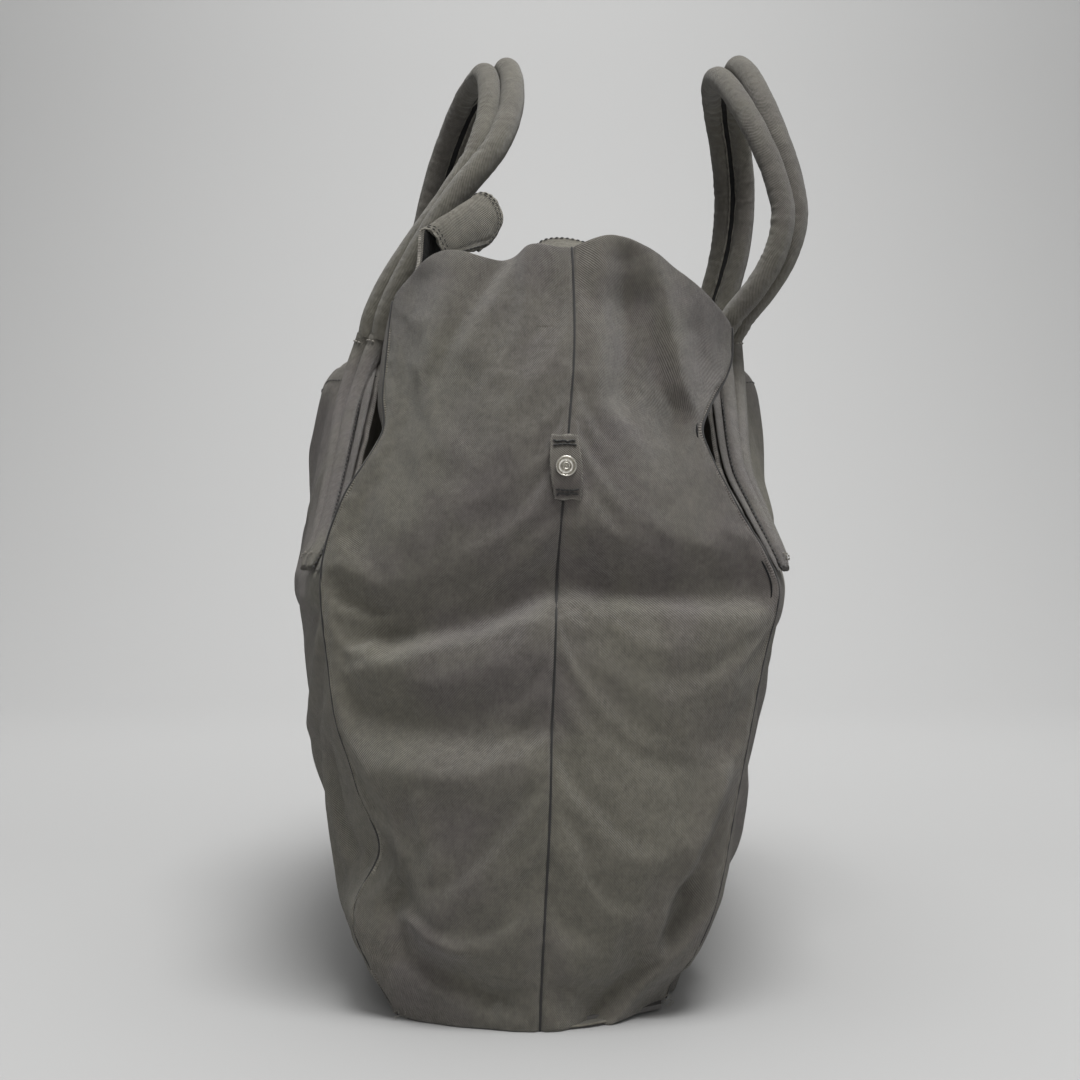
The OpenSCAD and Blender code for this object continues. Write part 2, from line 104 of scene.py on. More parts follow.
# Waves of an end's top edge: share of the way across, height.
TOP_WAVE = np.array([[-1, 5], [-0.68, 5], [-0.34, -4.5], [-0.16, -4], [-0.08, 0.8], [0.14, 1],
                     [0.364, 7.3], [0.55, 3.7], [0.7, -2.8], [1, -7.5]], float)
FRONT_SWELL = np.array([[0, 10], [30, 15], [110, 26], [FOOT_H, 38], [303, 45], [338, 48],
                        [352, 48], [POCKET_H, 40]], float)
BACK_SWELL = np.array([[0, 8], [30, 12], [110, 16], [190, 20], [FOOT_H, 25], [270, 35], [303, 43],
                       [338, 45], [352, 42], [POCKET_H, 29]], float)
FRONT_EDGE = np.array([[FOOT_H, 115.9], [250, 110], [275, 106], [304, 102.5], [338, 99],
                       [POCKET_H, 96.5]], float)
BACK_EDGE = np.array([[FOOT_H, 124.6], [250, 119], [270, 111], [293, 103], [328, 101],
                      [POCKET_H, 102]], float)
TOP_POWER = 1.9

FRONT_LINE = [
    [LEG_X, -FRONT_PIVOT, PIVOT_H + 1], [91, -97, 391], [91.5, -86, 413], [91, -69, 440],
    [88, -51, 466], [80, -34, 492], [64, -26, 518], [42, -25, 543], [12, -29, 563],
    [-22, -36, 567], [-52, -47, 560], [-72, -58, 542], [-85, -69, 516],
    [-92, -79, 482], [-93, -90, 430], [-LEG_X, -FRONT_PIVOT, PIVOT_H + 1],
]
BACK_LINE = [
    [LEG_X, BACK_PIVOT, PIVOT_H + 1], [94, 120, 388], [97, 135, 407], [98, 146, 427],
    [97, 151, 450], [92, 147, 476], [84, 140, 500], [70, 133, 523], [46, 127, 546],
    [14, 124, 562], [-20, 125, 565], [-50, 130, 556], [-72, 137, 534],
    [-88, 142, 505], [-94, 140, 468], [-94, 131, 432], [-92, 121, 402],
    [-LEG_X, BACK_PIVOT, PIVOT_H + 1],
]
FRONT_ACROSS = [[-0.7, -0.7, 0.1], [-0.8, -0.6, 0.1], [-0.93, -0.35, 0.1], [-0.5, -0.85, -0.1],
                [0, -0.95, -0.3], [0.1, -1, 0], [0.2, -1, 0], [0.45, -0.9, 0], [0.7, -0.7, 0.1]]
BACK_ACROSS = [[-0.75, 0.65, 0.1], [-0.85, 0.5, 0], [-0.7, 0.7, 0], [-0.4, 0.9, 0.1],
               [0, 0.87, 0.5], [0.25, 0.95, 0.1], [0.35, 0.93, 0], [0.5, 0.85, 0],
               [0.75, 0.65, 0.1]]
# How thick a handle's rolls are along it: share of the way, diameter.
FRONT_ROLL_D = np.array([[0, 13], [0.12, 14.5], [0.3, 16.2], [0.5, 15.3], [0.8, 15], [1, 13]],
                        float)
BACK_ROLL_D = np.array([[0, 13.5], [0.15, 14.5], [0.5, 15], [0.85, 15], [1, 13.5]], float)


# ---------- sums ----------

def smooth(t):
    t = np.clip(t, 0, 1)
    return t * t * (3 - 2 * t)


def mix(a, b, t):
    return a + (b - a) * t


def at(keys, z, column=1):
    """A column of a table of keys at z, on a smooth curve through the keys."""
    z = np.asarray(z, float)
    k, v = keys[:, 0], keys[:, column]
    low, high = np.maximum(np.arange(len(k)) - 1, 0), np.minimum(np.arange(len(k)) + 1, len(k) - 1)
    slope = (v[high] - v[low]) / (k[high] - k[low])
    i = np.clip(np.searchsorted(k, z, "right") - 1, 0, len(k) - 2)
    h = k[i + 1] - k[i]
    t = (z - k[i]) / h
    return ((2 * t**3 - 3 * t**2 + 1) * v[i] + (t**3 - 2 * t**2 + t) * h * slope[i]
            + (3 * t**2 - 2 * t**3) * v[i + 1] + (t**3 - t**2) * h * slope[i + 1])


def catmull(points, u):
    """Catmull-Rom through a list of points, u from 0 to 1 over the whole list."""
    p = np.asarray(points, float)
    n = len(p) - 1
    i = np.minimum(np.floor(u * n).astype(int), n - 1)
    t = (u * n - i)[:, None]
    a, b, c, d = p[np.maximum(i - 1, 0)], p[i], p[i + 1], p[np.minimum(i + 2, n)]
    return 0.5 * (2 * b + (c - a) * t + (2 * a - 5 * b + 4 * c - d) * t**2
                  + (3 * b - a - 3 * c + d) * t**3)


def unit(v):
    return v / np.maximum(np.linalg.norm(v, axis=-1, keepdims=True), 1e-9)


def lengths_along(line):
    """How far along a line of points each of them lies."""
    return np.concatenate([[0], np.cumsum(np.linalg.norm(np.diff(line, axis=0), axis=1))])


def grain(points, size, seed=0.0):
    """Smooth noise from -1 to 1 at an array of points, with bumps about size apart."""
    flat = np.asarray(points, float).reshape(-1, 3) / size + seed
    found = np.array([noise.noise(Vector(p)) for p in flat])
    return found.reshape(np.asarray(points).shape[:-1])


def crumple(points, size, seed=0.0):
    """Soft ridges that meet at an angle, as in washed cloth, about size apart."""
    return 0.45 - np.abs(grain(points, size, seed)) * 1.6


def dense_at_ends(a, b, n):
    return mix(a, b, (1 - np.cos(np.pi * np.arange(n + 1) / n)) / 2)


def across_face(n):
    """From -1 to 1 in n steps, short ones at both seams."""
    return np.sin(np.linspace(-np.pi / 2, np.pi / 2, n + 1))[None, :]


def polyline(points, p):
    """How far each of p lies from a line of points, on which side, and how far along (0 to 1)."""
    best = np.full(p.shape[:-1], 1e9)
    side, along = np.ones_like(best), np.zeros_like(best)
    points = np.asarray(points, float)
    for i in range(len(points) - 1):
        a, d = points[i], points[i + 1] - points[i]
        t = np.clip(((p - a) @ d) / (d @ d), 0, 1)
        away = p - a - t[..., None] * d
        far = np.linalg.norm(away, axis=-1)
        near = far < best
        best = np.where(near, far, best)
        side = np.where(near, np.sign(d[0] * away[..., 1] - d[1] * away[..., 0]), side)
        along = np.where(near, (i + t) / (len(points) - 1), along)
    return best, side, along


# ---------- the bag's surfaces ----------

def dip(h, how_far):
    return smooth((h - DIP_FROM) / (MOUTH_H - DIP_FROM)) * how_far


def wave_share(h):
    """How much of the mouth's waves a row takes: none low down, all of them at the mouth."""
    return smooth((h - WAVE_FROM) / (MOUTH_H - WAVE_FROM))


def seam_depth(side, h):
    """How far a side seam lies from the middle, on the row that starts out at height h."""
    corner = TOP_WAVE[0 if side < 0 else -1, 1] * wave_share(h)
    return at(FRONT_SEAM if side < 0 else BACK_SEAM, h - dip(h, DIP_SEAM) + corner)


def body_face(side, s, h):
    """A point of the body's front (side -1) or back (side 1)."""
    seam = seam_depth(side, h)
    swell = at(BODY_KEYS, h, 2 if side < 0 else 3)
    top = FRONT_TOP if side < 0 else BACK_TOP
    rise = smooth((h - TOP_EDGE_FROM) / TOP_EDGE_RISE)
    y = seam + swell * (1 - np.abs(s) ** SIDE_POWER) + rise * (at(top, np.abs(s)) - top[-1, 1])
    x = s * at(BODY_KEYS, h, 1)
    corner = TOP_WAVE[0 if side < 0 else -1, 1] * np.abs(s) ** 6 * wave_share(h)
    z = h - dip(h, mix(DIP_SEAM, DIP_MIDDLE, (1 - np.abs(s)) ** 3)) + corner
    return np.stack([x, side * y, z], -1)


def body_end(side, s, h):
    """A point of the body's end, s from -1 at the front seam to 1 at the back one."""
    y = np.where(s < 0, s * seam_depth(-1, h), s * seam_depth(1, h))
    x = at(BODY_KEYS, h, 1) + at(BODY_KEYS, h, 4) * (1 - s**2)
    wave = wave_share(h) * at(TOP_WAVE, s)
    z = h - dip(h, DIP_SEAM * np.abs(s) ** 4) + wave
    return np.stack([side * x, y, z], -1)


def pocket_half(h):
    return np.where(h <= FOOT_H, at(BODY_KEYS, h, 1),
                    mix(HALF_LEN, LEG_X, (h - FOOT_H) / (POCKET_H - FOOT_H)))


def pocket(side, s, h):
    """A point of an outer pocket, s from -1 to 1 between its edges."""
    low = seam_depth(side, h) + 0.4
    edge = np.where(h <= FOOT_H, low, at(FRONT_EDGE if side < 0 else BACK_EDGE, h))
    power = mix(SIDE_POWER, TOP_POWER, np.clip((h - FOOT_H) / (POCKET_H - FOOT_H), 0, 1))
    y = edge + at(FRONT_SWELL if side < 0 else BACK_SWELL, h) * (1 - np.abs(s) ** power)
    return np.stack([s * pocket_half(h), side * y, h + 0 * s], -1)


def normals(points):
    """The way out of a grid of points, before its sign is set."""
    up = np.gradient(points, axis=0)
    over = np.gradient(points, axis=1)
    return unit(np.cross(over, up))


def ways_out(points, axis, side):
    """The way out of a grid of points, towards a side of an axis."""
    out = normals(points)
    return out * np.sign(out[..., axis:axis + 1] * side + 1e-9)


# ---------- folds ----------
# A fold's line lies on a panel, given by (across, up). A width of two is for the right and the
# left of the line, looking along it. A step lifts one side of its line only, and reaches that far.

def crease(height, width, *line, step=0, reach=0):
    return dict(height=height, width=width, line=line, step=step, reach=reach)


RIGHT_FOLDS = [
    # the waist, where the upper half sags over the lower one
    crease(-9.5, (6, 22), (-80, 202), (-51, 209), (-26, 215), (2, 227), (16, 230), (60, 227),
           (126, 223)),
    crease(4, (40, 14), (10, 212), (70, 209), (118, 205)),
    crease(-4, 6, (-84, 201), (-72, 204)),
    crease(1.5, 14, (-60, 236), (-30, 244), (0, 250)),
    crease(2.5, 15, (30, 262), (70, 258), (112, 256)),
    crease(4, (24, 9), (-85, 190), (-40, 198), (0, 210)),
    crease(-5, (3.5, 11), (-116, 225), (-88, 217)),
    crease(1.5, 5, (-112, 240), (-92, 238)),
    # the S-fold at the mouth, left of the centre seam
    crease(4, 4, (-4, 424), (-12, 408), (-27, 387), (-38, 368), (-50, 344), step=1, reach=17),
    crease(-3, 6, (-15, 412), (-31, 385), (-42, 366), (-56, 340)),
    crease(3.5, 13, (-44, 402), (-52, 376), (-60, 346)),
    crease(-3, 11, (-66, 390), (-68, 350), (-80, 300), (-98, 258)),
    # the ridge that runs down from the right of the mouth, and the facet behind it
    crease(-12, 3, (58, 404), (64, 378), (68, 358), (73, 337), (82, 321), (96, 296), step=-1,
           reach=28),
    crease(2.2, 7, (59, 390), (64, 368), (71, 336), (84, 308)),
    crease(-6, 9, (46, 402), (47, 370), (45, 334)),
    crease(-3, 6, (84, 366), (88, 350), (92, 330)),
    crease(2, 9, (32, 408), (32, 372), (30, 340)),
    crease(1.6, 16, (-8, 330), (-22, 300), (-60, 262)),
    # lower half
    crease(-8, (11, 17), (-102, 166), (-60, 160), (-9, 156)),
    crease(3, 14, (-98, 135), (-55, 131), (-10, 136)),
    crease(2.8, 3, (-61, 121), (-61.7, 99)),
    crease(2.4, 2.6, (-55.8, 93), (-55.5, 80)),
    crease(-2.2, 6, (-72, 112), (-68, 92), (-74, 72)),
    crease(-8, (6, 13), (-80, 66), (-71, 39), (-56, 30), (-43, 23.5), (-26, 15)),
    crease(3.5, 5, (-70, 56), (-56, 47), (-42, 41)),
    crease(7, (8, 3.5), (97, 130), (87, 109), (75.5, 76), (67, 59), (63.5, 46), (63.5, 36)),
    crease(-2.4, 3, (84, 92), (77, 74), (70, 62)),
    crease(-3.5, 8, (104, 104), (92, 84), (80, 68)),
    crease(-12, 1.8, (98, 62), (83.5, 54), (71.6, 40), (58, 25), (48, 13.5), (35, 2), (20, -14),
           step=-1, reach=28),
    crease(2.4, (2, 5), (88, 58), (80, 53), (68, 40), (55, 26), (45, 14), (33, 3)),
    crease(-2.5, 20, (20, 150), (60, 142), (104, 150)),
    crease(1.8, 14, (14, 96), (36, 88), (58, 92)),
]
LEFT_FOLDS = [
    crease(-8, (8, 30), (-120, 226), (-60, 222), (10, 232)),
    crease(4, 14, (-110, 204), (-50, 206), (20, 210)),
    crease(-6, (8, 22), (30, 214), (70, 206), (116, 214)),
    crease(4, 9, (-50, 400), (-62, 360), (-84, 300)),
    crease(-4, 6, (20, 410), (30, 370), (44, 330)),
    crease(4, 10, (70, 392), (70, 350), (88, 290)),
    crease(-4, 15, (-90, 150), (-40, 140), (20, 150)),
    crease(4, (8, 4), (90, 120), (66, 84), (50, 40)),
    crease(-5, 5, (-96, 70), (-70, 46), (-44, 10)),
]
# On the pockets: (along, up)
FRONT_POCKET_FOLDS = [
    crease(3, 5, (188, 160), (182, 120), (186, 84)),
    crease(-2.5, 4, (196, 140), (190, 110), (196, 86)),
    crease(-3, 6, (172, 150), (166, 110), (176, 70)),
    crease(4, 9, (205, 196), (180, 170), (140, 150)),
    crease(-5, (6, 16), (205, 218), (160, 208), (110, 214)),
    crease(4, 12, (60, 356), (40, 320), (10, 290)),
    crease(3, 8, (120, 300), (86, 262), (60, 236)),
    crease(-4, 12, (-60, 356), (-50, 310), (-20, 270)),
    crease(-5, 9, (-200, 216), (-150, 208), (-90, 214)),
    crease(-5, 12, (-120, 60), (-40, 48), (50, 56)),
    crease(4, 16, (-150, 150), (-60, 130), (60, 140), (130, 128)),
]
BACK_POCKET_FOLDS = [
    crease(-4, 8, (200, 206), (150, 196), (100, 204)),
    crease(4, 8, (205, 120), (176, 92), (150, 80)),
    crease(4, 10, (50, 356), (60, 310), (90, 270)),
    crease(-2.5, 3, (112, 322), (114, 306), (108, 286)),
    crease(1.8, 3, (104, 318), (104, 302), (98, 284)),
    crease(-5, 14, (-90, 300), (-40, 270), (20, 262)),
    crease(-5, 10, (-190, 210), (-120, 200), (-60, 212)),
    crease(-4, 15, (-120, 100), (-20, 84), (80, 96)),
    crease(4, 9, (-160, 60), (-100, 110), (-70, 150)),
]
FACE_FOLDS = [
    crease(2, 22, (-140, 362), (-146, 330)),
    crease(2, 22, (140, 362), (146, 330)),
    crease(3, 14, (-30, 400), (-40, 360), (-30, 330)),
    crease(-4, 12, (40, 400), (30, 360), (50, 330)),
]
# Local pushes that every panel follows: where, which way, and how far it reaches.
PUSHES = [
    # the front side seam is drawn in towards the end, low on the near side
    ((212, -104, 92), (2, 20, 0), (24, 26, 24)),
    ((212, -108, 130), (0, 7, 0), (24, 26, 22)),
    # the back corner of the base folds under
    ((204, 74, 4), (-19, -2, 4), (28, 34, 20)),
    # the back of the mouth is drawn out and back by its handle
    ((194, 106, 350), (-16, 0, 0), (40, 24, 42)),
]


def fold(points, flat, folds):
    """How far a grid of points moves out by a list of folds. flat is (across, up)."""
    lift = np.zeros(points.shape[:-1])
    for f in folds:
        far, side, along = polyline(f["line"], flat)
        if f["step"]:
            rise = 0.5 * (1 + np.tanh(f["step"] * side * far / f["width"]))
            rise *= smooth(along / 0.15) * smooth((1 - along) / 0.2)
            lift += f["height"] * rise * np.exp(-(far / f["reach"]) ** 2)
        else:
            right, left = f["width"] if isinstance(f["width"], tuple) else (f["width"],) * 2
            lift += f["height"] * np.exp(-(far / np.where(side < 0, right, left)) ** 2)
    return lift


def pushed(points):
    out = points.copy()
    for where, way, reach in PUSHES:
        gap = (points - np.array(where)) / np.array(reach)
        out += np.array(way, float) * np.exp(-(gap**2).sum(-1))[..., None]
    return out


# ---------- meshes ----------

def link(name, mesh):
    piece = bpy.data.objects.new(name, mesh)
    bpy.context.scene.collection.objects.link(piece)
    return piece


def mesh_of(name, points, faces, weave=None, wear=None):
    mesh = bpy.data.meshes.new(name)
    mesh.from_pydata((np.asarray(points) * MM).tolist(), [], faces)
    for title, kind, entry, values in (("weave", "FLOAT_VECTOR", "vector", weave),
                                       ("wear", "FLOAT", "value", wear)):
        if values is not None:
            mesh.attributes.new(title, kind, "POINT")
            mesh.attributes[title].data.foreach_set(entry, np.asarray(values, np.float32).ravel())
    mesh.validate()
    mesh.shade_smooth()
    return mesh


def grid_faces(rows, cols, turned):
    quads = []
    for r in range(rows - 1):
        for c in range(cols - 1):
            a = r * cols + c
            quad = [a, a + 1, a + cols + 1, a + cols]
            quads.append(quad[::-1] if turned else quad)
    return quads


def tube_faces(rings, around, first=0):
    """The quads between rings of points, numbered from first."""
    faces = []
    for r in range(rings - 1):
        for k in range(around):
            a, b = (first + r * around + i % around for i in (k, k + 1))
            faces.append([a, b, b + around, a + around])
    return faces


def cloth_coordinates(points):
    """Lengths along the rows and up the columns of a grid, in metres, for the weave."""
    along = np.linalg.norm(np.diff(points, axis=1), axis=-1).mean(0)
    u = np.concatenate([[0], np.cumsum(along)])
    u = u - u[-1] / 2
    v = points[..., 2].mean(1)
    grid = np.zeros(points.shape)
    grid[..., 0] = u[None, :]
    grid[..., 1] = v[:, None]
    return grid * MM


def finished(piece, levels=1, thickness=0.0):
    """Applies a solidify and a subdivision to a piece."""
    if thickness:
        solid = piece.modifiers.new("solid", "SOLIDIFY")
        solid.thickness = thickness * MM
        solid.offset = -1
        solid.use_even_offset = False
    if levels:
        sub = piece.modifiers.new("sub", "SUBSURF")
        sub.levels = sub.render_levels = levels
    depsgraph = bpy.context.evaluated_depsgraph_get()
    made = bpy.data.meshes.new_from_object(piece.evaluated_get(depsgraph))
    piece.modifiers.clear()
    old = piece.data
    piece.data = made
    bpy.data.meshes.remove(old)
    piece.data.shade_smooth()
    return piece


def sheet_piece(name, points, outward, thickness=CLOTH_T, levels=1, wear=None, mirror_weave=1):
    """A cloth panel from a grid of points; outward is the rough way out at its middle."""
    middle = normals(points)[points.shape[0] // 2, points.shape[1] // 2]
    turned = float(middle @ np.asarray(outward, float)) < 0
    weave = cloth_coordinates(points)
    weave[..., 0] *= mirror_weave
    rows, cols = points.shape[:2]
    mesh = mesh_of(name, points.reshape(-1, 3), grid_faces(rows, cols, turned),
                   weave.reshape(-1, 3), np.zeros(rows * cols) if wear is None else wear.ravel())
    return finished(link(name, mesh), levels, thickness)


CLOTH_GROWTH = 0.007
CLOTH_MOVE = 2.4
CLOTH_FRAMES = 16
HOLD_INSIDE = 0.12
HOLD_REACH = 0.035


def edge_hold(points, high):
    """Pin shares for a grid: its top row by high, its other edges fully, the rest by a little."""
    rows, cols = points.shape[:2]
    r = np.arange(rows)[:, None] / (rows - 1)
    c = np.arange(cols)[None, :] / (cols - 1)
    hold = np.full((rows, cols), HOLD_INSIDE)
    for share, near in ((1, c), (1, 1 - c), (1, r), (high, 1 - r)):
        hold = np.maximum(hold, share * np.exp(-(near / HOLD_REACH) ** 2))
    return np.minimum(hold, 1)


def relaxed(points, high):
    """Lets a panel buckle as cloth that is a little larger than its place.

    It is pinned as edge_hold says, and no point moves by more than CLOTH_MOVE.
    """
    rows, cols = points.shape[:2]
    mesh = mesh_of("cloth", points.reshape(-1, 3), grid_faces(rows, cols, False))
    piece = link("cloth", mesh)
    group = piece.vertex_groups.new(name="hold")
    for i, w in enumerate(edge_hold(points, high).ravel()):
        group.add([i], float(w), "REPLACE")
    cloth = piece.modifiers.new("cloth", "CLOTH")
    settings = cloth.settings
    settings.quality = 6
    settings.mass = 0.15
    settings.tension_stiffness = settings.compression_stiffness = 12
    settings.shear_stiffness = 4
    settings.bending_stiffness = 1.2
    settings.shrink_min = -CLOTH_GROWTH
    settings.vertex_group_mass = "hold"
    settings.pin_stiffness = 0.6
    settings.effector_weights.gravity = 0.12
    scene = bpy.context.scene
    cloth.point_cache.frame_start = 1
    cloth.point_cache.frame_end = CLOTH_FRAMES
    for f in range(1, CLOTH_FRAMES + 1):
        scene.frame_set(f)
    got = piece.evaluated_get(bpy.context.evaluated_depsgraph_get()).data
    co = np.zeros(rows * cols * 3)
    got.vertices.foreach_get("co", co)
    scene.frame_set(1)
    bpy.data.objects.remove(piece)
    bpy.data.meshes.remove(mesh)
    moved = co.reshape(points.shape) / MM - points
    far = np.linalg.norm(moved, axis=-1, keepdims=True)
    return points + moved * np.minimum(1, CLOTH_MOVE / np.maximum(far, 1e-6))


# ---------- materials ----------

def nodes_of(name):
    material = bpy.data.materials.new(name)
    material.use_nodes = True
    tree = material.node_tree
    shader = tree.nodes["Principled BSDF"]
    return material, tree, shader


def set_inputs(node, values):
    for name, value in values.items():
        node.inputs[name].default_value = value


def math_node(tree, operation, *values):
    node = tree.nodes.new("ShaderNodeMath")
    node.operation = operation
    for i, value in enumerate(values):
        if isinstance(value, (int, float)):
            node.inputs[i].default_value = value
        else:
            tree.links.new(value, node.inputs[i])
    return node.outputs[0]


def plus(tree, a, b):
    return math_node(tree, "ADD", a, b)


def times(tree, a, b):
    return math_node(tree, "MULTIPLY", a, b)


def attribute_node(tree, name):
    node = tree.nodes.new("ShaderNodeAttribute")
    node.attribute_name = name
    return node


def bump_node(tree, height, strength, distance, under=None):
    """Relief of a height, on top of the relief under it."""
    node = tree.nodes.new("ShaderNodeBump")
    set_inputs(node, {"Strength": strength, "Distance": distance})
    tree.links.new(height, node.inputs["Height"])
    if under is not None:
        tree.links.new(under, node.inputs["Normal"])
    return node.outputs["Normal"]


def noise_node(tree, scale, detail, stretch=None):
    place = tree.nodes.new("ShaderNodeTexCoord").outputs["Object"]
    found = tree.nodes.new("ShaderNodeTexNoise")
    set_inputs(found, {"Scale": scale, "Detail": detail})
    if stretch:
        mapping = tree.nodes.new("ShaderNodeMapping")
        set_inputs(mapping, {"Scale": stretch})
        tree.links.new(place, mapping.inputs["Vector"])
        place = mapping.outputs["Vector"]
    tree.links.new(place, found.inputs["Vector"])
    return found.outputs["Fac"]


def colour_mix(tree, factor, a, b, blend="MIX"):
    node = tree.nodes.new("ShaderNodeMix")
    node.data_type = "RGBA"
    node.blend_type = blend
    for entry, value in (("Factor", factor), ("A", a), ("B", b)):
        socket = [s for s in node.inputs if s.name == entry and s.enabled][0]
        if isinstance(value, (int, float)):
            socket.default_value = value
        elif isinstance(value, tuple):
            socket.default_value = (*value, 1)
        else:
            tree.links.new(value, socket)
    return [s for s in node.outputs if s.enabled][0]


def ramp(tree, value, low, high):
    """0 below low, 1 above high."""
    node = tree.nodes.new("ShaderNodeMapRange")
    node.interpolation_type = "SMOOTHSTEP"
    tree.links.new(value, node.inputs["Value"])
    set_inputs(node, {"From Min": low, "From Max": high})
    return node.outputs["Result"]


# Metres from one wale and one thread to the next, and grains in a metre of plain finish.
TWILL_PITCH = 0.0013
THREAD_PITCH = 0.0006
GRAIN_SCALE = 200


def twill_material(name, base, cool, warm, pale, weave, bump, sheen=0.22):
    """Garment-washed twill: diagonal wales, slubs, cloudy dye, small crinkles and pale wear."""
    material, tree, shader = nodes_of(name)
    split = tree.nodes.new("ShaderNodeSeparateXYZ")
    tree.links.new(attribute_node(tree, "weave").outputs["Vector"], split.inputs[0])
    u, v = split.outputs[0], split.outputs[1]
    warp = times(tree, noise_node(tree, 60, 2), 0.0022)
    slant = plus(tree, plus(tree, u, v), warp)
    wale = math_node(tree, "SINE", times(tree, slant, 2 * math.pi / TWILL_PITCH))
    thread = math_node(tree, "SINE", times(tree, u, 2 * math.pi / THREAD_PITCH))
    slub = noise_node(tree, 800, 2, (1.0, 1.0, 0.35))
    lines = plus(tree, times(tree, wale, 0.42), times(tree, thread, 0.10))
    height = plus(tree, lines, slub)
    crinkle = noise_node(tree, 150, 3)
    cloud = noise_node(tree, 20, 5)
    patch = noise_node(tree, 8, 4, (1, 1, 0.7))
    blotch = noise_node(tree, 45, 4)
    speck = noise_node(tree, 260, 3)
    colour = colour_mix(tree, ramp(tree, cloud, 0.40, 0.60), base, cool)
    colour = colour_mix(tree, ramp(tree, patch, 0.46, 0.62), colour, warm)
    shade = plus(tree, times(tree, height, 0.46 * weave), times(tree, speck, 0.62))
    shade = plus(tree, shade, times(tree, blotch, 0.40))
    shade = plus(tree, shade, 0.42 - 0.20 * weave)
    grey = tree.nodes.new("ShaderNodeCombineColor")
    for i in range(3):
        tree.links.new(shade, grey.inputs[i])
    colour = colour_mix(tree, 1.0, colour, grey.outputs[0], "MULTIPLY")
    wear = attribute_node(tree, "wear").outputs["Fac"]
    rubbed = times(tree, wear, ramp(tree, noise_node(tree, 300, 4), 0.3, 0.7))
    colour = colour_mix(tree, rubbed, colour, pale)
    tree.links.new(colour, shader.inputs["Base Color"])
    set_inputs(shader, {"Roughness": 0.86, "Specular IOR Level": 0.22,
                        "Sheen Weight": sheen, "Sheen Roughness": 0.5})
    crinkled = bump_node(tree, crinkle, 0.7, 0.0018)
    tree.links.new(bump_node(tree, height, bump, 0.0006, crinkled), shader.inputs["Normal"])
    return material


def thread_material(name, colour):
    material, tree, shader = nodes_of(name)
    tone = colour_mix(tree, noise_node(tree, 500, 2), tuple(c * 0.7 for c in colour), colour)
    tree.links.new(tone, shader.inputs["Base Color"])
    set_inputs(shader, {"Roughness": 0.7, "Sheen Weight": 0.2})
    return material


def nickel_material(name):
    material, tree, shader = nodes_of(name)
    worn = noise_node(tree, 700, 3)
    colour = colour_mix(tree, ramp(tree, worn, 0.3, 0.7), (0.62, 0.60, 0.55), (0.40, 0.38, 0.34))
    tree.links.new(colour, shader.inputs["Base Color"])
    shader.inputs["Metallic"].default_value = 1.0
    rough = plus(tree, times(tree, worn, 0.2), 0.2)
    tree.links.new(rough, shader.inputs["Roughness"])
    return material


def plain_material(name, colour, rough):
    """A matt finish with a little grain, for the board and the handles' cores."""
    material, tree, shader = nodes_of(name)
    dark = tuple(c * 0.8 for c in colour)
    tone = colour_mix(tree, noise_node(tree, GRAIN_SCALE, 3), dark, colour)
    tree.links.new(tone, shader.inputs["Base Color"])
    shader.inputs["Roughness"].default_value = rough
    relief = bump_node(tree, noise_node(tree, GRAIN_SCALE * 3, 2), 0.2, 0.0003)
    tree.links.new(relief, shader.inputs["Normal"])
    return material


TWILL = twill_material("twill", (0.153, 0.141, 0.121), (0.144, 0.129, 0.119),
                       (0.160, 0.150, 0.121), (0.40, 0.38, 0.33), weave=0.95, bump=1.0)
ROLLED = twill_material("rolled twill", (0.124, 0.116, 0.097), (0.113, 0.104, 0.091),
                        (0.130, 0.122, 0.099), (0.36, 0.34, 0.29), weave=0.8, bump=0.7)
# Near black. The bag's lining has it, and it is also painted shade: the sheet under the front tabs
# and the strip in the handles' grooves. Its sheen is kept low so that the painted shade stays
# black.
LINING_AND_PAINTED_SHADE = twill_material("lining", (0.012, 0.012, 0.012), (0.010, 0.010, 0.011),
                        (0.014, 0.013, 0.012), (0.03, 0.03, 0.03), weave=0.3, bump=0.15,
                        sheen=0.02)
THREAD = thread_material("thread", (0.30, 0.28, 0.24))
# Near black: painted shade in the gaps of the seams and in the dents of the stitches; the thread
# itself is pale, as THREAD.
PAINTED_SHADE_THREAD = thread_material("painted shade thread", (0.016, 0.015, 0.014))
NICKEL = nickel_material("nickel")
BOARD = plain_material("board", (0.12, 0.115, 0.11), 0.7)
CORE = plain_material("foam", (0.7, 0.67, 0.6), 0.9)


def dressed(piece, material, body="root", replaces=()):
    """Gives a piece its material and its place in the model."""
    piece.data.materials.clear()
    piece.data.materials.append(material)
    if body:
        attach(piece, body)
    if replaces:
        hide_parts(*replaces)
    return piece


# ---------- panels ----------

END_ROWS = 140
END_COLUMNS = 48
FACE_ROWS = 80
FACE_COLUMNS = 96
POCKET_ROWS = 92
POCKET_COLUMNS = 120
SEAM_TICK = 0.5


def levels(low, high, n):
    return np.linspace(low, high, n + 1)


def seam_pull(far, points, deep=1.6, seed=0.0):
    """How far a panel sinks beside a seam at a distance, with the small puckers next to it."""
    ticks = grain(points * np.array([1, 1, 2.2]), 9, seed)
    return -deep * np.exp(-(far / 1.5) ** 2) + SEAM_TICK * ticks * np.exp(-far / 7)


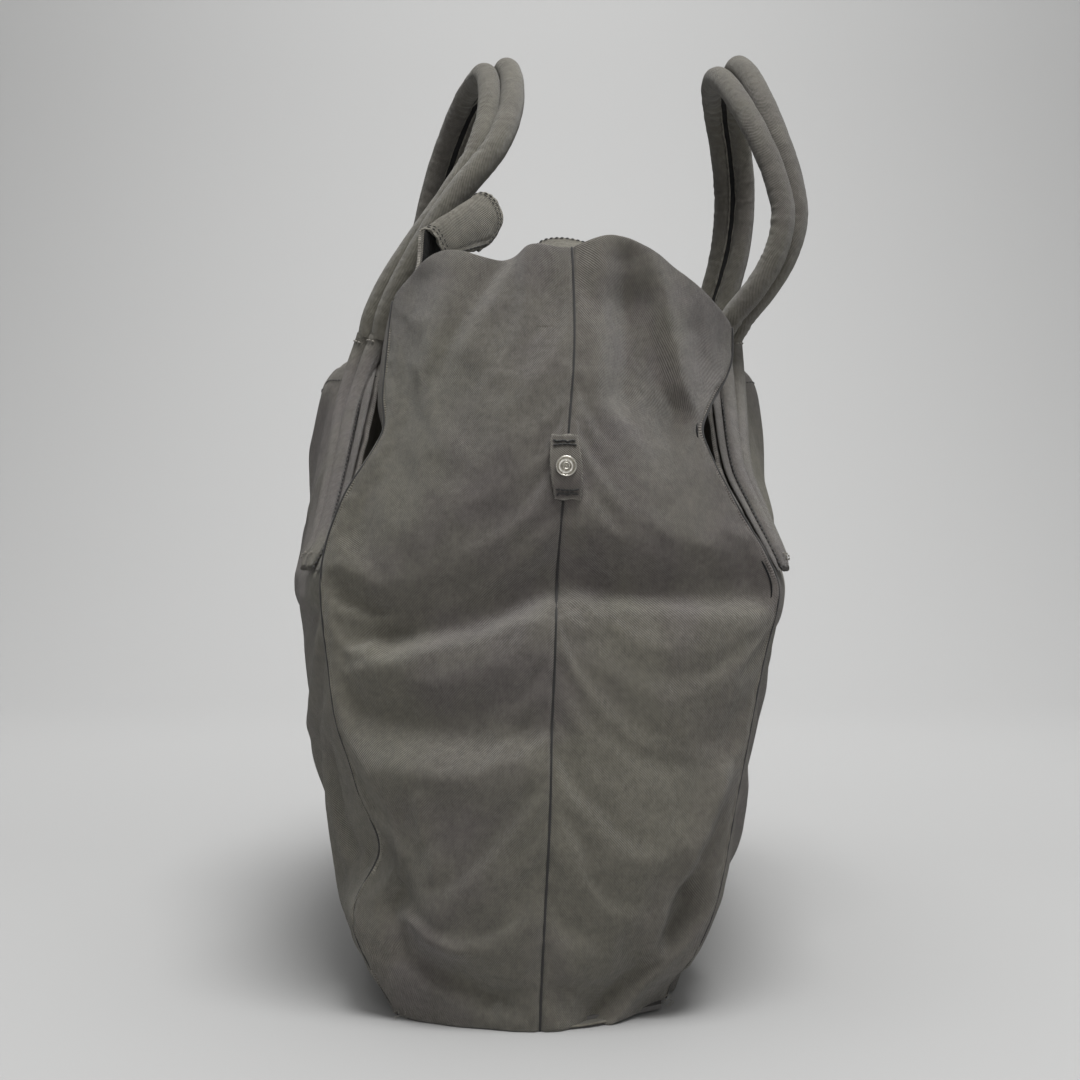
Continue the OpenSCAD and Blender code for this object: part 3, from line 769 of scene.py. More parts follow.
def end_grid(side, part, h, inset=0.0):
    """One half of an end, part -1 at the front and 1 at the back, or the whole end for 0."""
    n = END_COLUMNS
    centre = at(BODY_KEYS, h, 5)[:, None] / seam_depth(1, h)[:, None]
    t = dense_at_ends(0, 1, n)[None, :]
    if part < 0:
        s = mix(-1, centre, t)
    elif part > 0:
        s = mix(centre, 1, t)
    else:
        s = mix(-1, 1, dense_at_ends(0, 1, 2 * n))[None, :] + 0 * centre
    points = body_end(side, s, h[:, None] + 0 * s)
    flat = points[..., 1:3]
    out = ways_out(points, 0, side)
    lift = fold(points, flat, RIGHT_FOLDS if side > 0 else LEFT_FOLDS)
    lift += 1.1 * grain(points, 55, 3 * side) + 0.45 * grain(points, 19, side)
    lift += 0.16 * grain(points, 7, 2 * side)
    lift += 1.5 * crumple(points, 44, 5 * side) + 0.7 * crumple(points, 20, 3 * side)
    half_front, half_back = seam_depth(-1, h)[:, None], seam_depth(1, h)[:, None]
    to_side = np.where(s < 0, (1 + s) * half_front, (1 - s) * half_back)
    to_centre = np.abs(s - centre) * half_back
    lift *= smooth(to_side / 14)
    lift += seam_pull(to_side, points, 1.4, 5.0) - inset
    if part:
        lift += seam_pull(to_centre, points, 1.7, 9.0)
    return pushed(points + out * lift[..., None]), to_side


def face_grid(side, h, inset=0.0):
    s = across_face(FACE_COLUMNS)
    points = body_face(side, s, h[:, None] + 0 * s)
    out = ways_out(points, 1, side)
    to_side = (1 - np.abs(s)) * at(BODY_KEYS, h, 1)[:, None]
    lift = fold(points, points[..., [0, 2]], FACE_FOLDS)
    lift += 1.5 * grain(points, 48, 7 * side)
    lift *= smooth(to_side / 24)
    lift += seam_pull(to_side, points, 1.2, 2.0) - inset
    return pushed(points + out * lift[..., None])


def pocket_grid(side, h):
    s = across_face(POCKET_COLUMNS)
    points = pocket(side, s, h[:, None] + 0 * s)
    out = ways_out(points, 1, side)
    to_side = (1 - np.abs(s)) * pocket_half(h)[:, None]
    lift = fold(points, points[..., [0, 2]],
                FRONT_POCKET_FOLDS if side < 0 else BACK_POCKET_FOLDS)
    lift += 1.8 * grain(points, 60, 4 * side) + 0.7 * grain(points, 22, side)
    lift += 1.6 * grain(points * np.array([1.0, 1.0, 2.0]), 26, 1.5) * np.exp(-to_side / 30)
    lift *= smooth(to_side / 16 + 0.1)
    lift += seam_pull(to_side, points, 1.2, 8.0)
    return pushed(points + out * lift[..., None]), to_side


def panel(name, points, outward, material, slot="twill", body="root", replaces=True,
          held="hung", rests_on=(), **shape):
    """A cloth panel from a grid of points."""
    piece = sheet_piece(name, points, outward, **shape)
    dressed(piece, material, body, [name] if replaces else ())


SIDES = {-1: "front", 1: "back"}
ENDS = {1: "right", -1: "left"}


BASE_CORNER = (195, 74)


def panel_wear(points, to_side):
    """Pale rubbing at the base's corners, along its edge and along the side seams."""
    x, y, z = np.abs(points[..., 0]), np.abs(points[..., 1]), points[..., 2]
    far = np.sqrt((x - BASE_CORNER[0]) ** 2 + (y - BASE_CORNER[1]) ** 2 + (z * 1.6) ** 2)
    low_edge = 0.35 * np.exp(-(z / 2.2) ** 2)
    corners = np.clip(1.1 * np.exp(-(far / 7) ** 2) + low_edge, 0, 1)
    return corners + 0.25 * np.exp(-(to_side / 1.2) ** 2)


def make_ends():
    h = levels(0, MOUTH_H, END_ROWS)
    for side, end in ENDS.items():
        for part, half in ((-1, "front"), (1, "back")):
            points, to_side = end_grid(side, part, h)
            points = relaxed(points, high=0.6)
            panel(f"{end}_end_{half}_half", points, (side, 0, 0), TWILL,
                  wear=panel_wear(points, to_side), mirror_weave=part)
            make_seams(side, part, points)


SEAM_SHADE_R = 0.7


def seam_shade_line(name, line, outs):
    """A thin near-black tube along the line where two panels are sewn together, at every other row:
    painted shade in the seam's gap.
    """
    line, outs = line[::2], outs[::2]
    along = unit(np.gradient(line, axis=0))
    wide = unit(np.cross(along, outs))
    thin = np.full(len(line), 2 * SEAM_SHADE_R)
    piece = roll_piece(name, line - outs * 0.15, wide, outs, thin, thin)
    dressed(piece, PAINTED_SHADE_THREAD)


def make_seams(side, part, points):
    """The painted shade lines along the seams of one half of an end: its side seam and the centre
    seam.
    """
    sign = np.array([side, 0.0, 0.0])
    edge, centre = (points[:, 0], points[:, -1]) if part < 0 else (points[:, -1], points[:, 0])
    corner = unit(sign + np.array([0, part * 1.0, 0])) + 0 * edge
    name = f"{ENDS[side]}_{SIDES[part]}"
    seam_shade_line(f"{name}_side_seam_shade", edge + corner * 0.2, corner)
    if part > 0:
        seam_shade_line(f"{ENDS[side]}_centre_seam_shade", centre + sign * 0.25, sign + 0 * centre)


def make_faces():
    h = levels(0, MOUTH_H, FACE_ROWS)
    for side, face in SIDES.items():
        panel(f"{face}_body_panel", face_grid(side, h), (0, side, 0), TWILL, thickness=1.6)


def make_pockets():
    h = levels(0, POCKET_H, POCKET_ROWS)
    for side, face in SIDES.items():
        points, to_side = pocket_grid(side, h)
        points = relaxed(points, high=0.8)
        panel(f"{face}_pocket_panel", points, (0, side, 0), TWILL,
              wear=panel_wear(points, to_side))
        hem = points[-5:-3].mean(0)[2:-2]
        out = unit(np.cross(np.gradient(points[-4], axis=0), [0, 0, 1.0]))[2:-2]
        out *= np.sign(out[:, 1:2] * side + 1e-9)
        stitches(f"{face}_pocket_stitches", [(hem, out)], "root")


def make_inside():
    high, low = levels(FACING_H, MOUTH_H - 0.6, 12), levels(LINING_H, FACING_H, 50)
    layers = []
    for side, face in SIDES.items():
        layers.append((f"{face}_facing", face_grid(side, high, 2.6), (0, -side, 0)))
        layers.append((f"{face}_lining", face_grid(side, low, 3.4), (0, -side, 0)))
    for side, end in ENDS.items():
        layers.append((f"{end}_end_facing", end_grid(side, 0, high, 2.8)[0], (-side, 0, 0)))
        layers.append((f"{end}_end_lining", end_grid(side, 0, low, 7.5)[0], (-side, 0, 0)))
    for name, points, inward in layers:
        if name.endswith("lining"):
            panel(name, points, inward, LINING_AND_PAINTED_SHADE, "lining", thickness=0.8)
        else:
            panel(name, points, inward, TWILL, thickness=1.2)


def base_grid(z, inset):
    s = np.linspace(-1, 1, 61)[None, :]
    v = np.linspace(-1, 1, 31)[:, None]
    key = BODY_KEYS[0]
    x = s * (key[1] + key[4] * (1 - v**2) - inset)
    depth = np.where(v < 0, FRONT_SEAM[0, 1], BACK_SEAM[0, 1])
    y = v * (depth + key[2] * (1 - np.abs(s) ** SIDE_POWER) - inset)
    points = np.stack([x, y, np.full_like(x, z)], -1)
    points[..., 2] += 0.5 * np.abs(grain(points, 30, 2.0))
    return pushed(points)


def make_base():
    panel("base_panel", base_grid(0.2, 1.0), (0, 0, -1), TWILL, held="laid", thickness=1.8)
    panel("base_lining", base_grid(5.4, 8.0), (0, 0, 1), LINING_AND_PAINTED_SHADE, "lining", held="laid",
          rests_on=["base_board"], thickness=0.8)


# ---------- stitches ----------

STITCH_PITCH = 3.2
STITCH_LEN = 2.2
STITCH_R = 0.36
THREAD_SIDES = 5


def thread_rings(here, ahead, out, length, radius):
    """Rings of points round one stitch, which bows out of the cloth."""
    over = np.cross(ahead, out)
    angle = 2 * np.pi * np.arange(THREAD_SIDES) / THREAD_SIDES
    rings = []
    for t in (-1, -0.6, 0, 0.6, 1):
        size = radius * (1 - 0.75 * t**4)
        middle = here + ahead * (t * length / 2) + out * (0.25 * (1 - t * t))
        rings.append(middle + size * (np.cos(angle)[:, None] * out + np.sin(angle)[:, None] * over))
    return rings


# By default the dashes are near black: painted shade in the dents that the stitches make in the
# cloth.
def stitches(name, lines, body, pitch=STITCH_PITCH, length=STITCH_LEN, radius=STITCH_R,
             material=PAINTED_SHADE_THREAD):
    """Sewn dashes along lines; each line is its points and the way out of the cloth there."""
    points, faces = [], []
    for line, outs in lines:
        line, outs = np.asarray(line, float), np.asarray(outs, float)
        along = lengths_along(line)
        for d in np.arange(pitch / 2, along[-1] - pitch / 4, pitch):
            low, high = (np.array([np.interp(d + step, along, line[:, i]) for i in range(3)])
                         for step in (-length / 2, length / 2))
            out = unit(np.array([np.interp(d, along, outs[:, i]) for i in range(3)]))
            ahead = unit(high - low)
            out = unit(out - (out @ ahead) * ahead)
            rings = thread_rings((low + high) / 2, ahead, out, length, radius)
            first = len(points)
            for ring in rings:
                points.extend(ring)
            faces += tube_faces(len(rings), THREAD_SIDES, first)
    piece = link(name, mesh_of(name, np.array(points), faces))
    dressed(piece, material, body)


# ---------- rolls, straps and handles ----------

ROUND = 20
ROUND_ANGLES = 2 * np.pi * (np.arange(ROUND) + 0.5) / ROUND


def sweep(centres, wides, deeps, width, thick, bump=None):
    """A closed roll: rings of points round a line, with caps, as points, faces and weave."""
    n = len(centres)
    angle = ROUND_ANGLES
    c, s = np.cos(angle)[None, :, None], np.sin(angle)[None, :, None]
    size = np.ones((n, ROUND, 1)) if bump is None else 1 + bump[..., None]
    rings = (centres[:, None] + wides[:, None] * (width[:, None, None] / 2 * c * size)
             + deeps[:, None] * (thick[:, None, None] / 2 * s * size))
    along = lengths_along(centres)
    weave = np.zeros(rings.shape)
    weave[..., 0] = angle[None, :] * 7.5
    weave[..., 1] = along[:, None]
    points = [*rings.reshape(-1, 3), centres[0], centres[-1]]
    weaves = [*weave.reshape(-1, 3), weave[0, 0], weave[-1, 0]]
    faces = tube_faces(n, ROUND)
    first, last = n * ROUND, n * ROUND + 1
    for k in range(ROUND):
        faces.append([first, (k + 1) % ROUND, k])
        e = (n - 1) * ROUND
        faces.append([last, e + k, e + (k + 1) % ROUND])
    return points, faces, np.array(weaves) * MM


def roll_piece(name, centres, wides, deeps, width, thick, bump=None):
    points, faces, weave = sweep(centres, wides, deeps, width, thick, bump)
    mesh = mesh_of(name, points, faces, weave, np.zeros(len(points)))
    return finished(link(name, mesh), 1)


def frames(line, ways, u):
    """The middle, the way across and the way through a band at u along its line."""
    here = catmull(line, u)
    ahead = unit(catmull(line, np.minimum(u + 0.004, 1)) - catmull(line, np.maximum(u - 0.004, 0)))
    way = catmull(ways, u)
    wide = unit(way - (way * ahead).sum(-1, keepdims=True) * ahead)
    return here, wide, np.cross(ahead, wide)


def crimps(centres, deeps, wides, bend, seed):
    """Crosswise puckers round a roll, deepest on the side that its bends face."""
    angle = ROUND_ANGLES
    way = (wides[:, None] * np.cos(angle)[None, :, None]
           + deeps[:, None] * np.sin(angle)[None, :, None])
    facing = (way * unit(bend)[:, None]).sum(-1)
    sharp = np.clip(np.linalg.norm(bend, axis=-1) / 0.16, 0.2, 1)[:, None]
    along = lengths_along(centres)
    place = np.stack([along[:, None] + 0 * angle[None, :],
                      4 * np.cos(angle)[None, :] + 0 * along[:, None],
                      4 * np.sin(angle)[None, :] + 0 * along[:, None]], -1)
    fine = grain(place * np.array([1.0, 0.3, 0.3]), 2.9, seed)
    broad = grain(place * np.array([1.0, 0.5, 0.5]), 13, seed + 4)
    rise = 0.25 + 0.75 * smooth(facing * 0.9 + 0.3)
    return 0.13 * fine * rise * sharp + 0.03 * broad


def bends(line, u):
    """Which way a line bends at u, and how sharply."""
    a, b, c = (catmull(line, np.clip(u + d, 0, 1)) for d in (-0.02, 0, 0.02))
    return unit(c - b) - unit(b - a)


HANDLES = {"front": (FRONT_LINE, FRONT_ACROSS, -1), "back": (BACK_LINE, BACK_ACROSS, 1)}
HANDLE_STEPS = 440
CORE_D = 10.0
CORE_PART = slice(12, -12, 4)


def bent(piece):
    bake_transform(piece)


def make_handles():
    for side, (line, ways, y_side) in HANDLES.items():
        u = np.linspace(0, 1, HANDLE_STEPS)
        here, wide, deep = frames(line, ways, u)
        middle_of_loop = here.mean(0)
        inside = np.sign(((middle_of_loop - here) * deep).sum(-1).mean())
        full = at(FRONT_ROLL_D if y_side < 0 else BACK_ROLL_D, u)
        shift = full * 0.49
        bend = bends(line, u)
        for sign, roll in ((1, "outer"), (-1, "inner")):
            name = f"{side}_handle_{roll}_roll"
            middle = here + wide * (sign * shift)[:, None]
            bump = crimps(middle, deep, wide, bend, sign * 7 + y_side)
            piece = roll_piece(name, middle, wide, deep, full, full, bump)
            dressed(piece, ROLLED, None, [name])
            bent(piece)
            name = f"{side}_handle_{roll}_core"
            thin = np.full(len(u), CORE_D)[CORE_PART]
            piece = roll_piece(name, middle[CORE_PART], wide[CORE_PART], deep[CORE_PART],
                               thin, thin)
            dressed(piece, CORE, None, [name])
            bent(piece)
        make_allowance(side, here, wide, deep * inside)


ALLOWANCE_GAP = 2.4
ALLOWANCE_HIGH = 6.4


def ribbon(name, low, high, thick, material):
    """A thin closed strip between two lines of points."""
    n = len(low)
    over = unit(np.cross(np.gradient(low, axis=0), high - low)) * thick / 2
    rings = [low - over, low + over, high + over, high - over]
    faces = [[a * n, b * n, b * n + 1, a * n + 1] for a, b in ((0, 1), (1, 2), (2, 3), (3, 0))]
    faces = [[i + k for i in face] for face in faces for k in range(n - 1)]
    faces += [[0, n, 2 * n, 3 * n][::-1], [n - 1, 2 * n - 1, 3 * n - 1, 4 * n - 1]]
    points = np.concatenate(rings)
    mesh = mesh_of(name, points, faces, np.zeros((4 * n, 3)), np.full(4 * n, 0.35))
    piece = dressed(link(name, mesh), material, None)
    bent(piece)


def make_allowance(side, here, wide, inward):
    """The groove on the inner side of a handle, with a near-black strip of painted shade at its
    bottom, and the raw edges that stand in it.
    """
    for k, sign in enumerate((-1, 1)):
        wave = (grain(here, 11, 20 + k) * 0.8)[:, None]
        high = ALLOWANCE_HIGH + 0.8 * grain(here, 5, 30 + k)[:, None]
        low = here + wide * sign * 1.2 + inward * 3.2
        tip = here + wide * (sign * ALLOWANCE_GAP + wave) + inward * high
        ribbon(f"{side}_handle_raw_edge_{k}", low, tip, 0.5, ROLLED)
    # a near-black strip in the groove: painted shade between the rolls
    low = here - wide * 3.2 + inward * 4.9
    high = here + wide * 3.2 + inward * 4.9
    ribbon(f"{side}_handle_groove_shade", low, high, 0.5, LINING_AND_PAINTED_SHADE)


STRAP_W = 12.4
STRAP_T = 7.5
FLANGE_W = 8.6
FLANGE_T = 2.8
# How far back from the pocket's edge a strap's flat flange and its two rolls lie.
STRAP_BACK = (3.8, 13.8, 26.4)
STITCH_BACK = 7.2
# The handle's rolls at its legs: how thick, how far from the band's middle, how far above it.
LEG_D = 13
LEG_APART = 6.4
LEG_UP = 4.0
JOIN_FROM = 0.70


def joining(u):
    """How far a strap has turned into its handle at u along it."""
    return smooth((u - JOIN_FROM) / (1 - JOIN_FROM))


def on_pocket(side, end, height, back_by):
    """A point of a pocket, back_by from its slanted edge."""
    return pocket(side, end * (1 - back_by / pocket_half(height)), height)


def strap_line(side, end, back_by, off, top, n=90):
    """A line along the pocket's slanted edge, off its cloth, with its ways across and out."""
    u = np.linspace(0, 1, n)
    h = mix(FOOT_H + 1, top, u)
    base = on_pocket(side, end, h, back_by)
    wide = unit(on_pocket(side, end, h, back_by - 2) - on_pocket(side, end, h, back_by + 2))
    out = unit(np.cross(unit(np.gradient(base, axis=0)), wide))
    out *= np.sign(out[:, 1:2] * side + 1e-9)
    return u, base + out * off, wide, out


def strap_roll(side, end, roll):
    """A strap roll's middle line, which ends on its handle's roll, and its frame."""
    u, middle, wide, out = strap_line(side, end, STRAP_BACK[1 + roll], STRAP_T / 2 - 0.8,
                                      POCKET_H - 5)
    line, ways, _ = HANDLES[SIDES[side]]
    leg = np.array(line[0 if end > 0 else -1], float)
    across = unit(np.array(ways[0 if end > 0 else -1], float))
    goal = leg + across * (LEG_APART if roll else -LEG_APART) + np.array([0, 0, LEG_UP])
    pull = joining(u)[:, None]
    middle = mix(middle, goal + np.array([0, 0, 1.0]) * (u[:, None] - 1) * 36, pull)
    wide = unit(mix(wide, across * np.sign(across @ wide[-1]), pull))
    along = unit(np.gradient(middle, axis=0))
    wide = unit(wide - (wide * along).sum(-1, keepdims=True) * along)
    return u, middle, wide, np.cross(along, wide), out


def make_straps():
    for side, face in SIDES.items():
        for end, which in ENDS.items():
            make_strap(side, end, f"{face}_{which}_strap")


def make_strap(side, end, name):
    parts = []
    for roll in (0, 1):
        u, middle, wide, deep, _ = strap_roll(side, end, roll)
        full = joining(u)
        width, thick = mix(STRAP_W, LEG_D, full), mix(STRAP_T, LEG_D, full)
        fade = 1 - 0.5 * smooth((0.07 - u) / 0.07)
        bend = unit(np.gradient(middle, axis=0))
        bump = crimps(middle, deep, wide, 5 * np.gradient(bend, axis=0), 3 * side + end + roll)
        parts.append(sweep(middle, wide, deep, width * fade, thick * fade, 0.7 * bump))
    u, middle, wide, out = strap_line(side, end, STRAP_BACK[0], FLANGE_T / 2 - 0.4, POCKET_H - 3)
    fade = (1 - 0.5 * smooth((0.05 - u) / 0.05)) * (1 - 0.4 * smooth((u - 0.93) / 0.07))
    parts.append(sweep(middle, wide, out, FLANGE_W * fade, FLANGE_T * fade))
    points, faces, weave = [], [], []
    for p, f, w in parts:
        faces += [[i + len(points) for i in face] for face in f]
        points += list(p)
        weave += list(w)
    mesh = mesh_of(name, points, faces, weave, np.zeros(len(points)))
    piece = finished(link(name, mesh), 1)
    dressed(piece, TWILL, replaces=[name])
    _, sewn, _, out = strap_line(side, end, STITCH_BACK, 2.5, POCKET_H - 8)
    stitches(f"{name}_stitches", [(sewn, out)], "root", radius=0.5)
    lines = []
    # the bar across both rolls where the strap meets its handle, and a small one at its foot
    for at_u, reach in ((0.93, 0.42), (0.05, 0.34)):
        for roll in (0, 1):
            u, middle, wide, deep, _ = strap_roll(side, end, roll)
            i = int(at_u * (len(u) - 1))
            over = deep[i] * np.sign(deep[i] @ out[i])
            across = np.linspace(-1, 1, 9)[:, None]
            full = mix(STRAP_T, LEG_D, joining(at_u))
            bar = (middle[i] + wide[i] * across * STRAP_W * reach
                   + over * full * 0.52 * np.sqrt(1 - (across * 0.8) ** 2))
            ways = unit(over + wide[i] * across * 0.8)
            lines.append((bar, ways))
    stitches(f"{name}_bars", lines, "root", 2.6, 2.0, 0.5, THREAD)


# ---------- closure tabs ----------

# The right end's tabs by their two side edges, from the sewn foot to the free end.
FRONT_TAB = [
    [[166, -77.5, 382], [162, -73, 396], [156, -69.5, 410], [152, -69, 422],
     [150, -68, 429.5], [149, -62, 429], [148, -57.5, 422], [147, -55, 413]],
    [[118, -77.5, 382], [117, -67, 404], [114, -57, 428], [112, -46, 449],
     [111, -36, 460], [111, -27, 457], [113, -22, 444], [116, -27, 427]],
]
BACK_TAB = [
    [[166, 100, 380], [165, 98, 384], [160, 85, 390], [152, 54, 405],
     [146, 24, 417], [142, 6, 418], [140, -6, 413]],
    [[118, 100, 382], [118, 97, 392], [116, 80, 405], [112, 50, 421],
     [109, 22, 432], [108, 4, 433], [108, -5, 427]],
]
TABS = {"front": FRONT_TAB, "back": BACK_TAB}
TAB_CORNER = 0.12
HEM = 4.5
TAB_UNDERSIDE_INSET = 3.0
TAB_ROWS = 84
TAB_COLUMNS = 36
TAB_MIDDLE = (40, TAB_COLUMNS // 2)


def tab_grid(edges, inset=0.0):
    """A tab with rounded corners at its free end, and how far each point lies from its edge."""
    u = np.linspace(0, 1, TAB_ROWS)
    near, far = catmull(edges[0], u), catmull(edges[1], u)
    width = np.linalg.norm(far - near, axis=1)
    v = dense_at_ends(0, 1, TAB_COLUMNS)[None, :]
    corner = np.clip((u - 1 + TAB_CORNER) / TAB_CORNER, 0, 1)
    cut = (0.30 * (1 - np.sqrt(1 - corner**2)) + inset / width)[:, None]
    points = mix(near[:, None], far[:, None], mix(cut, 1 - cut, v)[..., None])
    to_edge = np.minimum(v, 1 - v) * width[:, None]
    length = lengths_along(points[:, TAB_COLUMNS // 2])
    return points, np.minimum(to_edge, (length[-1] - length)[:, None])


def make_tabs():
    for side, edges in TABS.items():
        for end, which in ENDS.items():
            make_tab(f"{side}_{which}_tab", edges, end, f"tab_{side}_{which}")


def make_tab(name, edges, end, body):
    points, to_edge = tab_grid(edges)
    out = normals(points)
    out = out * np.sign(out[TAB_MIDDLE][2])
    seam = -0.45 * np.exp(-((to_edge - HEM) / 0.9) ** 2)
    bulge = 0.4 * np.exp(-((to_edge - 2) / 1.7) ** 2) + 0.35 * grain(points, 9, 6)
    bulge += 0.3 * np.sin(points[..., 1] * 1.9) * np.exp(-to_edge / 3)
    flip = np.array([end, 1, 1])
    shaped = (points + out * (seam + bulge)[..., None]) * flip
    wear = 0.7 * np.exp(-(to_edge / 1.0) ** 2)
    ways = out * flip
    panel(name, shaped, ways[TAB_MIDDLE], TWILL, body=body, thickness=1.8, wear=wear)
    inner, _ = tab_grid(edges, TAB_UNDERSIDE_INSET)
    inner_out = normals(inner)
    inner_out *= np.sign(inner_out[TAB_MIDDLE][2])
    # Under the front tabs a near-black sheet is painted shade inside the tab; the back tabs show
    # their own twill underneath.
    under = (inner - inner_out * 2.4)[:-5] * flip
    panel(f"{name}_lining", under, -ways[TAB_MIDDLE], LINING_AND_PAINTED_SHADE if name.startswith("front") else TWILL,
          "lining", body, replaces=False, thickness=0.5, levels=0)
    lines = []
    for row in (2.2, HEM):
        sewn = tab_grid(edges, row)[0][:-3]
        for column in (0, -1):
            line = sewn[8:, column] + out[8:len(sewn), column] * 0.4
            lines.append((line * flip, ways[8:len(sewn), column]))
        lines.append((tab_end_line(sewn, out) * flip, ways[-4, 2:-2]))
    stitches(f"{name}_stitches", lines, body, radius=0.3)


TAB_FOOT_SEWN = np.linspace(350, 373, 9)
TAB_FOOT_INSET = 4.2


def make_tab_feet():
    """The tail of each closure tab: sewn to the facing, it ends on the line the tab turns on."""
    for face, edges in TABS.items():
        side = -1 if face == "front" else 1
        wall = face_grid(side, TAB_FOOT_SEWN, TAB_FOOT_INSET)
        for end, which in ENDS.items():
            flip = np.array([end, 1, 1])
            near = np.array(edges[0][0]) * flip
            far = np.array(edges[1][0]) * flip
            fold_line = mix(near, far, np.linspace(0, 1, 25)[:, None])
            across = fold_line[:, 0]
            rows = [np.stack([across, np.interp(across, row[:, 0], row[:, 1]),
                              np.interp(across, row[:, 0], row[:, 2])], axis=1) for row in wall]
            rows += [mix(rows[-1], fold_line, t) for t in (0.35, 0.7, 1.0)]
            points = np.array(rows)
            panel(f"{face}_{which}_tab_foot", points, (0, -side, 0), TWILL, replaces=False,
                  thickness=1.0)


def tab_end_line(sewn, out):
    """The row of stitches across a tab's free end."""
    return sewn[-1, 2:-2] + out[-4, 2:-2] * 0.4


# ---------- studs, snaps and their tabs ----------

STUD_H = 290.5
STUD_TAB_LEN = 34.5
STUD_TAB_W = 13.6
STUD_TAB_MIDDLE_W = 17
STUD_TAB_LOW = 1.3
STUD_TAB_BOW = 3.9
STUD_TAB_T = 1.3
STUD_TAB_ROWS = 45
STUD_TAB_COLUMNS = 21
LATHE_STEPS = 48
# A stud from its middle out: distance from its axis, height above its tab.
STUD_PROFILE = [(0, 0.9), (0.45, 1.0), (0.7, 0.4), (1.0, 0.3), (1.2, 1.6), (1.45, 2.1), (1.85, 2.1),
                (2.1, 1.5), (2.3, 0.4), (2.8, 0.1), (3.9, 0.1), (4.3, 0.5), (4.6, 1.3), (5.0, 1.55),
                (5.45, 1.2), (5.55, 0.5), (5.3, 0.05), (0, 0.05)]
SNAP_STUD_PROFILE = [(0, 4.2), (0.9, 4.1), (1.4, 3.6), (1.25, 2.4), (1.7, 1.7), (5.6, 1.4),
                     (6.6, 1.1), (6.9, 0.6), (6.6, 0.1), (0, 0)]
SOCKET_PROFILE = [(0, 0.6), (2.4, 0.7), (2.7, 2.1), (3.2, 2.4), (4.2, 2.2), (4.8, 1.2), (6.0, 1.1),
                  (6.8, 0.8), (6.6, 0.1), (0, 0)]
CAP_PROFILE = [(0, 0.9), (3.5, 0.85), (5.0, 0.6), (5.5, 0.2), (5.2, 0), (0, 0)]


def axes_for(normal):
    """Two ways across a normal, the second one as upright as it can be."""
    normal = unit(np.asarray(normal, float))
    up = unit(np.array([0, 0, 1.0]) - normal[2] * normal)
    return np.cross(up, normal), up


def lathe(name, profile, place, normal):
    """A turned metal piece standing on a place along a normal."""
    over, up = axes_for(normal)
    angle = 2 * np.pi * np.arange(LATHE_STEPS) / LATHE_STEPS
    ring = np.cos(angle)[:, None] * over + np.sin(angle)[:, None] * up
    axis = unit(np.array(normal, float))
    points = [np.array(place) + axis * h + ring_point * r
              for r, h in profile[1:-1] for ring_point in ring]
    rows = len(profile) - 2
    faces = [[a, d, c, b] for a, b, c, d in tube_faces(rows, LATHE_STEPS)]
    for row, (r, h) in ((0, profile[0]), (rows - 1, profile[-1])):
        centre = len(points)
        points.append(np.array(place) + axis * h)
        for k in range(LATHE_STEPS):
            a, b = row * LATHE_STEPS + k, row * LATHE_STEPS + (k + 1) % LATHE_STEPS
            faces.append([centre, a, b] if row == 0 else [centre, b, a])
    return finished(link(name, mesh_of(name, np.array(points), faces)), 1)


def stud_frame(side):
    """Where an end's stud tab sits on the centre seam, and its ways out, across and up."""
    share = at(BODY_KEYS, STUD_H, 5) / seam_depth(1, STUD_H)
    low, middle, high = (body_end(side, np.array(share), np.array(STUD_H + step))
                         for step in (-STUD_TAB_LEN / 2, 0, STUD_TAB_LEN / 2))
    up = unit(high - low)
    over = np.array([0, 1.0, 0])
    out = unit(np.cross(over, up)) * side
    return middle, out * np.sign(out[0] * side), over, up


def metal(name, profile, place, normal, body="root"):
    dressed(lathe(name, profile, place, normal), NICKEL, body, [name])


def stud_tab_grid(middle, out, over, up):
    """A stud tab, folded under and frayed a little at its ends, and how rubbed it is."""
    t = np.linspace(-1, 1, STUD_TAB_ROWS)[:, None]
    v = np.linspace(-1, 1, STUD_TAB_COLUMNS)[None, :]
    width = mix(STUD_TAB_MIDDLE_W, STUD_TAB_W, np.abs(t) ** 1.6)
    height = STUD_TAB_LOW + STUD_TAB_BOW * (1 - t**2)
    folded = 0.6 * np.exp(-((np.abs(t) - 0.93) / 0.05) ** 2) * (1 + 0.4 * np.sin(9 * v + 3 * t))
    ragged_side = 0.35 * np.sin(31 * t + 2 * np.sign(v)) * np.abs(v) ** 6
    ragged_end = 0.4 * np.sin(5 * v) * (np.abs(t) > 0.97)
    points = (middle + up * (t * STUD_TAB_LEN / 2 + ragged_end)[..., None]
              + over * (v * width / 2 + ragged_side)[..., None]
              + out * (height + folded - 0.35 * v**6 + 0 * v)[..., None])
    wear = np.clip(0.9 * np.exp(-((1 - np.abs(t)) / 0.05) ** 2)
                   + 0.45 * np.exp(-((1 - np.abs(v)) / 0.08) ** 2), 0, 1)
    return points, wear


def stud_tab_lines(points, out):
    """Two rows of zigzag stitches at each end of a stud tab."""
    lines = []
    for sign in (-1, 1):
        for row, pace in ((0.80, 0.35), (0.68, -0.35)):
            place = [(int((sign * (row + pace * 0.12 * (-1) ** k) + 1) * (STUD_TAB_ROWS // 2)),
                      2 + 2 * k) for k in range(STUD_TAB_COLUMNS // 2 - 1)]
            line = np.array([points[r, c] + out * 0.45 for r, c in place])
            lines.append((line, np.array([out] * len(line))))
    return lines


